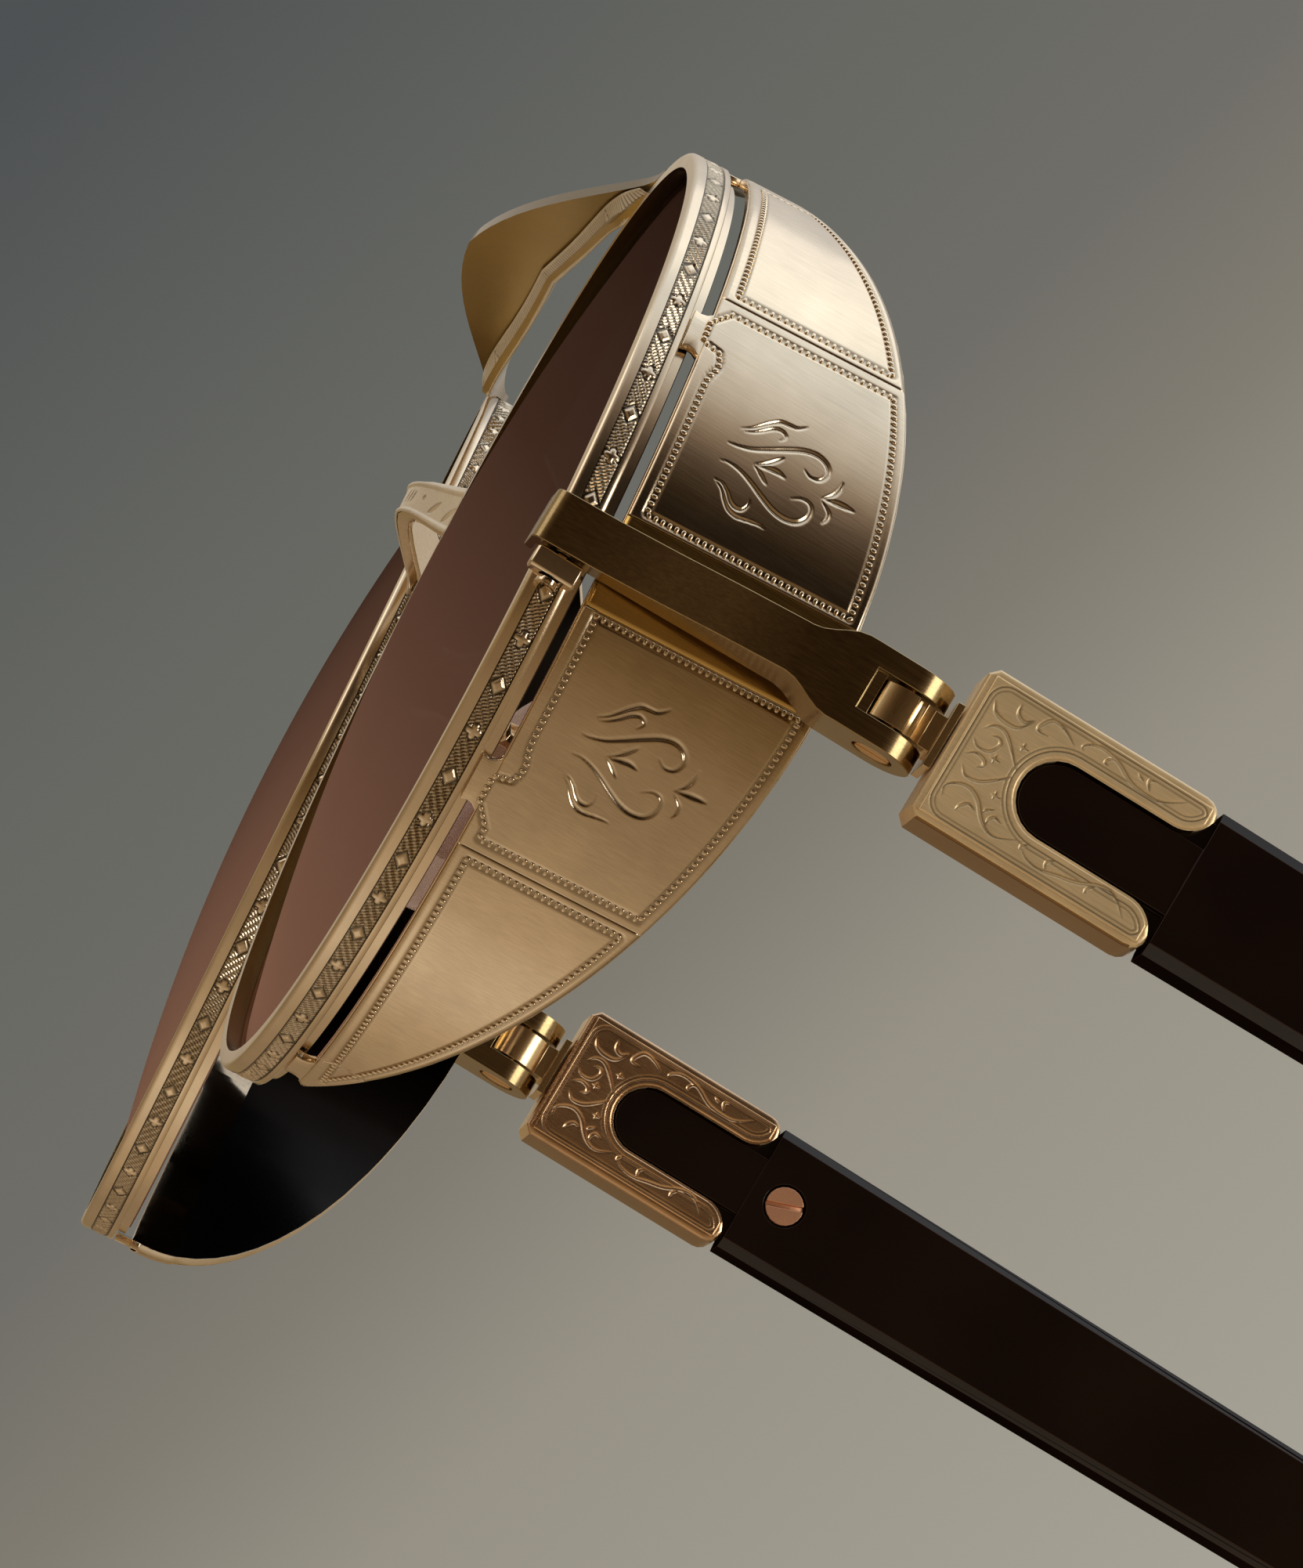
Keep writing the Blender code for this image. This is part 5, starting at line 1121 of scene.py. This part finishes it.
# %% Shield skins
def make_skin(title, limits):
    """The relief skin of a panel or of the plain strip, between two angles in degrees."""
    low, high = (math.radians(a) * RIM_MM for a in limits)
    panel = PANELS.get(title)
    coarse = panel["step"] if panel else PLAIN_STEP
    marks = [math.radians(panel[k]) * RIM_MM for k in ("first", "last")] if panel else [low]
    columns = line_count(low, high, marks, coarse)
    deepest = float(shield_back(np.radians(np.linspace(*limits, 50))).max())
    room = deepest - SHIELD_FRONT
    rows = line_count(SHIELD_FRONT, deepest, [BORDER_FRONT, deepest - BORDER_BACK], coarse)
    outline = panel_outline(panel, 0.03) if panel else None

    def lay(u, v):
        angle = packed(u, low, high, marks, coarse) / RIM_MM
        front = SHIELD_FRONT + SKIN_INSET
        back = shield_back(angle) - SKIN_INSET
        even = packed(v, 0, room, [BORDER_FRONT - SHIELD_FRONT, room - BORDER_BACK], coarse)
        depth = spread_rows(even, room, front, back)
        height = np.full_like(depth, SKIN_HEIGHT)
        cut = np.zeros_like(depth)
        edge = np.minimum(depth - front, back - depth)
        if panel:
            away = outline_distance(angle, depth, outline)
            channel = CHANNEL_DEPTH * np.clip((CHANNEL_HALF - away) / 0.05, 0, 1)
            channel += line_cut(away - CHANNEL_HALF - 0.02, 0.06, 0.05)
            cut = np.clip(channel / CHANNEL_DEPTH, 0, 1) * 0.9
            height -= channel
            if panel["scroll"]:
                at, deep = panel["scroll"]
                x = (angle - math.radians(at)) * RIM_MM
                engraved = graver_cuts(x, depth - deep, SCROLL, SCROLL_DEPTH)
                height -= engraved
                cut = np.maximum(cut, 0.75 * np.sqrt(engraved / SCROLL_DEPTH))
        else:
            height -= STRIP_SUNK
        height = np.minimum(height, 0.02 + 0.9 * np.clip(edge, 0, None))
        return on_rim(SHIELD_RADIUS + height * MM, angle, depth * MM), cut

    mesh = relief_grid("skin", columns, rows, lay)
    # The plain strip takes the darker gold: painted shade under the end piece.
    metal = shield_metal if panel else strip_shade_metal
    both_sides(f"shield_{title}_{{}}", mesh, metal, "front", SKIN_WALL)


for title, limits in SKINS.items():
    make_skin(title, limits)

# %% [markdown]
# ## Bead rows
#
# A milgrain border is rolled with a small wheel that leaves a row of round grains. Each bead here is a
# low dome of a few dozen faces, an oval lying across its row, half sunk in the channel between the lines.


# %% Beads
# Half sizes in millimetres along and across the row and upwards; the power squares the dome a little.
BEAD_ALONG = 0.118
BEAD_ACROSS = 0.175
BEAD_UP = 0.10
BEAD_SQUARE = 0.62
bm = bmesh.new()
bmesh.ops.create_uvsphere(bm, u_segments=8, v_segments=6, radius=1.0)
for v in bm.verts:
    v.co = Vector([math.copysign(abs(c) ** BEAD_SQUARE, c) for c in v.co]) * MM
bead = mesh_of("bead", bm)


def bead_row(title, panel):
    """Copies of the bead all round a panel, each turned to its row and to the sheet's curve."""
    outline = panel_outline(panel, BEAD_PITCH)
    ahead = np.roll(outline, -1, axis=0) - np.roll(outline, 1, axis=0)
    floor_height = SKIN_HEIGHT - CHANNEL_DEPTH
    base = on_rim(SHIELD_RADIUS + floor_height * MM, outline[:, 0], outline[:, 1] * MM)
    inner = on_rim(0.0, outline[:, 0], outline[:, 1] * MM)
    bm = bmesh.new()
    for spot, axis_point, (turn, step) in zip(base, inner, ahead):
        up = Vector(spot - axis_point).normalized()
        arc_axis = up.cross(rim_axis)
        along = (arc_axis * (turn * RIM_MM) + rim_axis * step).normalized()
        across = up.cross(along)
        size = Matrix((along * BEAD_ALONG, across * BEAD_ACROSS, up * BEAD_UP)).transposed().to_4x4()
        one = bead.copy()
        one.transform(Matrix.Translation(spot) @ size)
        bm.from_mesh(one)
        bpy.data.meshes.remove(one)
    bmesh.ops.recalc_face_normals(bm, faces=bm.faces)
    both_sides(f"beads_{title}_{{}}", mesh_of("beads", bm), shield_metal, "front")


for title, panel in PANELS.items():
    bead_row(title, panel)

# %% [markdown]
# ## Engraved sleeves
#
# The U-shaped sleeve is engraved on both of its flat faces: a double line along the edge, a line round the
# window, and leaf scrolls that fill the front and both arms. The plate is a fine grid over the face. Where
# it leaves the face's outline it dips into the metal, and its faces beyond that line are removed.

# %% Leaf scrolls of the sleeves
# Strokes as (half width, points); a point is (distance behind the sleeve's front, height over its middle).
LEAVES = [
    (0.15, [(0.9, 2.7), (1.2, 2.2), (1.8, 2.0), (2.5, 2.1), (3.0, 2.7)]),
    (0.13, [(2.1, 3.2), (2.2, 2.7), (2.6, 2.5), (3.0, 2.8)]),
    (0.14, [(3.9, 2.5), (3.4, 2.5), (3.4, 2.8), (3.8, 3.3), (4.5, 3.2), (5.2, 2.8)]),
    (0.12, [(0.9, 0.6), (1.3, 0.3), (1.9, 0.4), (2.2, 0.9), (2.0, 1.2), (1.6, 1.1)]),
    (0.12, [(1.1, 1.2), (1.5, 1.6), (2.1, 1.6), (2.8, 1.0), (3.4, 0.3)]),
    (0.12, [(0.9, -0.3), (1.4, 0.0), (1.9, -0.1), (2.0, -0.4), (1.7, -0.6)]),
    (0.12, [(1.1, -0.8), (1.5, -1.2), (2.2, -1.1), (2.9, -0.6), (3.4, -0.1)]),
    (0.14, [(1.0, -2.6), (0.9, -2.1), (1.4, -1.7), (2.0, -1.6), (2.6, -1.9), (3.1, -2.5), (3.6, -2.9),
            (4.2, -3.0), (5.1, -2.6)]),
    (0.11, [(1.9, -2.9), (2.0, -2.6), (2.3, -2.3), (2.7, -2.4)]),
    (0.09, [(3.1, -2.3), (3.2, -2.1), (3.5, -1.9)]),
    (0.11, [(3.5, -2.8), (3.5, -2.5), (3.7, -2.2), (4.1, -2.3)]),
    (0.13, [(5.7, 2.8), (5.6, 3.0), (6.0, 3.3), (6.6, 3.4), (7.5, 3.2), (8.5, 2.7), (9.7, 2.6), (10.4, 2.8),
            (11.2, 3.3)]),
    (0.10, [(7.1, 2.8), (6.9, 2.9), (7.1, 3.2), (7.4, 3.2)]),
    (0.07, [(8.5, 3.3), (8.9, 3.1)]),
    (0.10, [(9.4, 2.8), (9.2, 3.1), (9.2, 3.3), (9.5, 3.4)]),
    (0.13, [(5.4, -2.7), (6.0, -3.1), (6.8, -3.2), (7.7, -3.0), (8.6, -2.8), (9.5, -2.4), (10.2, -2.3),
            (10.8, -2.6), (11.3, -3.1)]),
    (0.10, [(5.5, -2.9), (5.5, -2.7), (5.7, -2.5)]),
    (0.10, [(7.0, -3.1), (6.9, -2.8), (7.0, -2.6), (7.2, -2.5)]),
    (0.10, [(9.2, -3.1), (9.2, -2.8), (9.5, -2.5)]),
]
STARS = [(3.2, 1.4), (2.3, 0.2), (3.2, -1.3)]
for y, z in STARS:
    LEAVES.append((0.07, [(y - 0.26, z), (y + 0.26, z)]))
    LEAVES.append((0.07, [(y, z - 0.24), (y, z + 0.24)]))
LEAF_DEPTH = 0.11
PLATE_STEP = 0.055
PLATE_HEIGHT = 0.07
PLATE_MARGIN = 0.36
WINDOW_MARGIN = 0.08
FRAME_FROM_EDGE = 0.55
FRAME_FROM_WINDOW = 0.45
FRAME_SECOND = 0.2
OUTER_FACE = 2.15
INNER_FACE = -1.85


# %% Outline of a sleeve's face
def inside_sleeve(y, z, front_corner=0.5, rear_corner=0.5):
    """Distances in millimetres inward from the sleeve's edge and outward from its window."""
    corner = np.where(y < SLEEVE_LONG / 2, front_corner, rear_corner)
    over_y = np.abs(y - SLEEVE_LONG / 2) - (SLEEVE_LONG / 2 - corner)
    over_z = np.abs(z) - (SLEEVE_HALF - corner)
    past = np.hypot(np.clip(over_y, 0, None), np.clip(over_z, 0, None))
    edge = corner - past - np.minimum(np.maximum(over_y, over_z), 0)
    arc = WINDOW_FRONT + WINDOW_HALF
    window = np.where(y < arc, np.hypot(y - arc, z) - WINDOW_HALF, np.abs(z) - WINDOW_HALF)
    tip_y, tip_z = y - (SLEEVE_LONG - TIP_RADIUS), WINDOW_HALF + TIP_RADIUS - np.abs(z)
    in_tip = (tip_y > 0) & (tip_z > 0)
    window = np.where(in_tip, TIP_RADIUS - np.hypot(tip_y, tip_z), window)
    return edge, window


# %% Plates of the sleeves
def sleeve_plate(title, face_x, flip):
    """An engraved plate on the face at face_x millimetres from the hinge; flip turns it inwards."""
    def lay(u, v):
        y, z = u * SLEEVE_LONG, (v - 0.5) * 2 * SLEEVE_HALF
        edge, window = inside_sleeve(y, z)
        within = np.minimum(edge - PLATE_MARGIN, window - WINDOW_MARGIN)
        engraved = graver_cuts(y, z, LEAVES, LEAF_DEPTH)
        round_edge, _ = inside_sleeve(y, z, 1.5, 1.0)
        frame_line = np.minimum(round_edge - FRAME_FROM_EDGE, window - FRAME_FROM_WINDOW)
        lines = line_cut(frame_line, 0.06, 0.05) + line_cut(frame_line - FRAME_SECOND, 0.05, 0.03)
        height = PLATE_HEIGHT - np.maximum(engraved, lines)
        height = np.minimum(height, -0.03 + 1.2 * np.clip(within, -0.05, None))
        cut = np.sqrt(np.clip(np.maximum(engraved / LEAF_DEPTH, lines / 0.06), 0, 1))
        x = hinge.x + (face_x + (-height if flip else height)) * MM
        return np.stack([x, hinge.y + (SLEEVE_FRONT + y) * MM, hinge.z + z * MM], -1), cut

    columns, rows = round(SLEEVE_LONG / PLATE_STEP), round(2 * SLEEVE_HALF / PLATE_STEP)
    mesh = relief_grid("plate", columns, rows, lay)
    bm = bm_of(mesh)
    places = np.array([v.co for v in bm.verts])
    y = (places[:, 1] - hinge.y) / MM - SLEEVE_FRONT
    z = (places[:, 2] - hinge.z) / MM
    edge, window = inside_sleeve(y, z)
    outside = np.minimum(edge - PLATE_MARGIN, window - WINDOW_MARGIN) < -0.03
    bm.verts.ensure_lookup_table()
    bmesh.ops.delete(bm, geom=[bm.verts[i] for i in np.flatnonzero(outside)], context="VERTS")
    put_back(bm, mesh)
    if flip:
        mesh.flip_normals()
    # The inner face's plate takes the redder brass: painted shade.
    metal = inner_shade_brass if flip else sleeve_metal
    both_sides(f"sleeve_{title}_{{}}", mesh, metal, "temple_{}_body", SKIN_WALL)


sleeve_plate("outer_face", OUTER_FACE, False)
sleeve_plate("inner_face", INNER_FACE, True)

# %% [markdown]
# ## Bridge and brow ribbon
#
# The saddle bridge has a rolled border along its upper and lower edge, and between them a few cuts: slits
# near the middle, a drilled dot and two leaves. The brow bar's ribbon lies under its rear fold and slopes
# from the foot forward and up to the visor. It has two borders, hatching and a flower near each end. Both
# engravings are thin skins over the solids, so their points repeat the solids' curves.


# %% Skins over a curved front
def lift(surface, u, v, height):
    """Points of surface(u, v), raised by height millimetres along the surface's own normal."""
    step = 0.002
    across = surface(u + step, v) - surface(u - step, v)
    upward_step = surface(u, v + step) - surface(u, v - step)
    normal = np.cross(across, upward_step)
    normal /= np.linalg.norm(normal, axis=-1, keepdims=True)
    return surface(u, v) + normal * (height * MM)[:, None]


def inset(share, margin):
    """Squeeze shares 0 to 1 so that a margin stays free at both ends."""
    return margin + (1 - 2 * margin) * share


def from_rim(x, y, z):
    """Points in the model's axes from millimetres: x from the middle, y and z from the rim's centre."""
    return np.stack([x * MM, rim_centre.y + y * MM, rim_centre.z + z * MM], -1)


# %% Bridge skin
# The bridge's sizes in millimetres, as in the solid.
BRIDGE_TOP = 11.45
BRIDGE_END_TALL = 2.95
BRIDGE_RISE = 0.45
BRIDGE_SHOULDER = 0.92
BRIDGE_SET_BACK = 0.8
BRIDGE_ARCH = 2.45
BRIDGE_STOP = 25.6
RIM_SIDE = rim_centre.x / MM


def rim_front(x, height):
    """How far the rims' front plane lies behind the rim's centre at x and height."""
    return -(RIM_SIDE - np.abs(x)) * math.tan(FACE_WRAP) - height * math.tan(RIM_TILT)


def bridge_front(u, v):
    """The bridge's front face: u runs from the right rim to the left one, v from its foot to its top."""
    along = (u - 0.5) * 2
    bow = (1 + np.cos(math.pi * np.minimum(np.abs(along) / BRIDGE_SHOULDER, 1))) / 2
    height = BRIDGE_TOP + BRIDGE_RISE * bow - (BRIDGE_END_TALL - bow) * (1 - v)
    end_height = BRIDGE_TOP - BRIDGE_END_TALL * (1 - v)
    wrapped = RIM_MM * (1 - math.cos(FACE_WRAP))
    x = along * (RIM_SIDE - np.sqrt(BRIDGE_STOP ** 2 - end_height ** 2) - wrapped)
    return from_rim(x, rim_front(x, height) + BRIDGE_SET_BACK - BRIDGE_ARCH * bow, height)


# Strokes as (half width, points); a point is (distance beside the middle, height over the middle line).
BRIDGE_CUTS = [(0.10, [(0.8, -0.45), (1.15, 0.45)]), (0.10, [(1.3, -0.45), (1.65, 0.45)]),
               (0.10, [(1.8, -0.4), (2.1, 0.4)]), (0.20, [(4.5, -0.55), (4.9, -0.25), (5.4, 0.15)]),
               (0.20, [(6.3, -0.65), (6.7, -0.3), (7.3, 0.1)])]
BRIDGE_DOT = (3.4, 0.1, 0.2)
BRIDGE_CUT_DEPTH = 0.10
BRIDGE_HALF_LONG = 10.9
BRIDGE_MEAN_TALL = 2.4
BRIDGE_MARGIN = 0.06


def lay_bridge(u, v):
    u = inset(u, 0.02)
    v = inset(v, BRIDGE_MARGIN)
    beside = np.abs(u - 0.5) * 2 * BRIDGE_HALF_LONG
    over = (v - 0.5) * BRIDGE_MEAN_TALL
    cuts = graver_cuts(beside, over, BRIDGE_CUTS, BRIDGE_CUT_DEPTH)
    dot = np.hypot(beside - BRIDGE_DOT[0], over - BRIDGE_DOT[1])
    cuts = np.maximum(cuts, line_cut(dot, BRIDGE_DOT[2], BRIDGE_CUT_DEPTH))
    roll = np.minimum(v - BRIDGE_MARGIN, 1 - BRIDGE_MARGIN - v) * BRIDGE_MEAN_TALL
    border = 0.10 * dome((roll - 0.16) / 0.15)
    height = 0.05 + border - cuts - 0.04 * np.clip(1 - roll / 0.03, 0, 1)
    return lift(bridge_front, u, v, height), np.sqrt(np.clip(cuts / BRIDGE_CUT_DEPTH, 0, 1))


def add_skin(name, mesh, metal):
    """A skin that needs no mirror image."""
    mesh.shade_smooth()
    skin = add_object(name, mesh, metal, "front")
    give_wall(skin, SKIN_WALL)
    print(name, len(mesh.polygons), "faces")


add_skin("bridge_engraving", relief_grid("bridge", 360, 44, lay_bridge), ribbon_metal)

# %% Ribbon skin
# The brow bar's sizes in millimetres, as in the solid.
BROW_SPAN = 31.0
BROW_RISE = 0.85
BROW_FOLD_BACK = 0.65
BROW_FOLD_BOW = 3.5
BROW_SHEET = 0.6
BROW_SHEET_THINS = 0.18
RIBBON_TALL = 0.6
RIBBON_GROWS = 1.6
RIBBON_DEPTH = 0.5
RIBBON_REACH = 28.5
RIBBON_FORWARD = 0.45
RIBBON_PITCH = 0.5
RIBBON_BORDER = 0.16
RIBBON_LAND = 0.06
RIBBON_FLOWER = 0.5
FLOWER_AT = 20.0


def ribbon_face(u, v):
    """The strip from the foot's rear edge, v = 0, forward and up to the visor's underside, v = 1."""
    x = (u - 0.5) * 2 * RIBBON_REACH
    share = np.abs(x) / BROW_SPAN
    full = 1 - share ** 2
    aside = (np.abs(x) - RIM_SIDE) / math.cos(FACE_WRAP)
    seat = np.sqrt(np.clip(RIM_MM ** 2 - aside ** 2, 0, None)) * math.cos(RIM_TILT) + 0.1
    sheet = BROW_SHEET - BROW_SHEET_THINS * share ** 4
    top = np.maximum(RIM_MM * math.cos(RIM_TILT) + BROW_RISE * full, seat + sheet)
    tall = RIBBON_TALL + RIBBON_GROWS * share ** 2
    foot = np.minimum(np.maximum(top - sheet - tall, seat), top - sheet - 0.01)
    fold = rim_front(x, RIM_MM) + BROW_FOLD_BACK * share ** 2 - BROW_FOLD_BOW * share ** 3 * full
    forward = RIBBON_FORWARD * np.clip((1 - share) / 0.08, 0, 1)
    rear_y = fold + RIBBON_DEPTH
    front_y = fold - forward
    front_z = top - sheet - 0.12 - 0.25 * forward
    return from_rim(x, rear_y + (front_y - rear_y) * v, foot + (np.maximum(front_z, foot) - foot) * v)


def lay_ribbon(u, v):
    u = inset(u, 0.001)
    v = inset(v, 0.02)
    x = (u - 0.5) * 2 * RIBBON_REACH
    low, high = ribbon_face(u, np.zeros_like(u)), ribbon_face(u, np.ones_like(u))
    wide = np.linalg.norm(high - low, axis=-1) / MM
    over = (v - 0.5) * wide
    edge = np.minimum(v, 1 - v) * wide
    lean = zigzag((np.abs(x) + 0.8 * over) / RIBBON_PITCH)
    hatch = RIBBON_LAND * np.clip(lean * 2.0 - 0.1, 0, 1)
    flower = petals(np.abs(x) - FLOWER_AT, over, RIBBON_FLOWER)
    pattern = np.where(flower < 1.25, 0.0, hatch)
    pattern = np.where(flower < 1.0, 0.10 * dome(flower), pattern)
    height = 0.02 + np.where(edge < RIBBON_BORDER, 0.07, pattern)
    cut = np.where(edge < RIBBON_BORDER, 0, np.clip(1 - pattern / RIBBON_LAND, 0, 1))
    return lift(ribbon_face, u, v, height), cut


add_skin("brow_ribbon", relief_grid("ribbon", 900, 30, lay_ribbon), ribbon_metal)
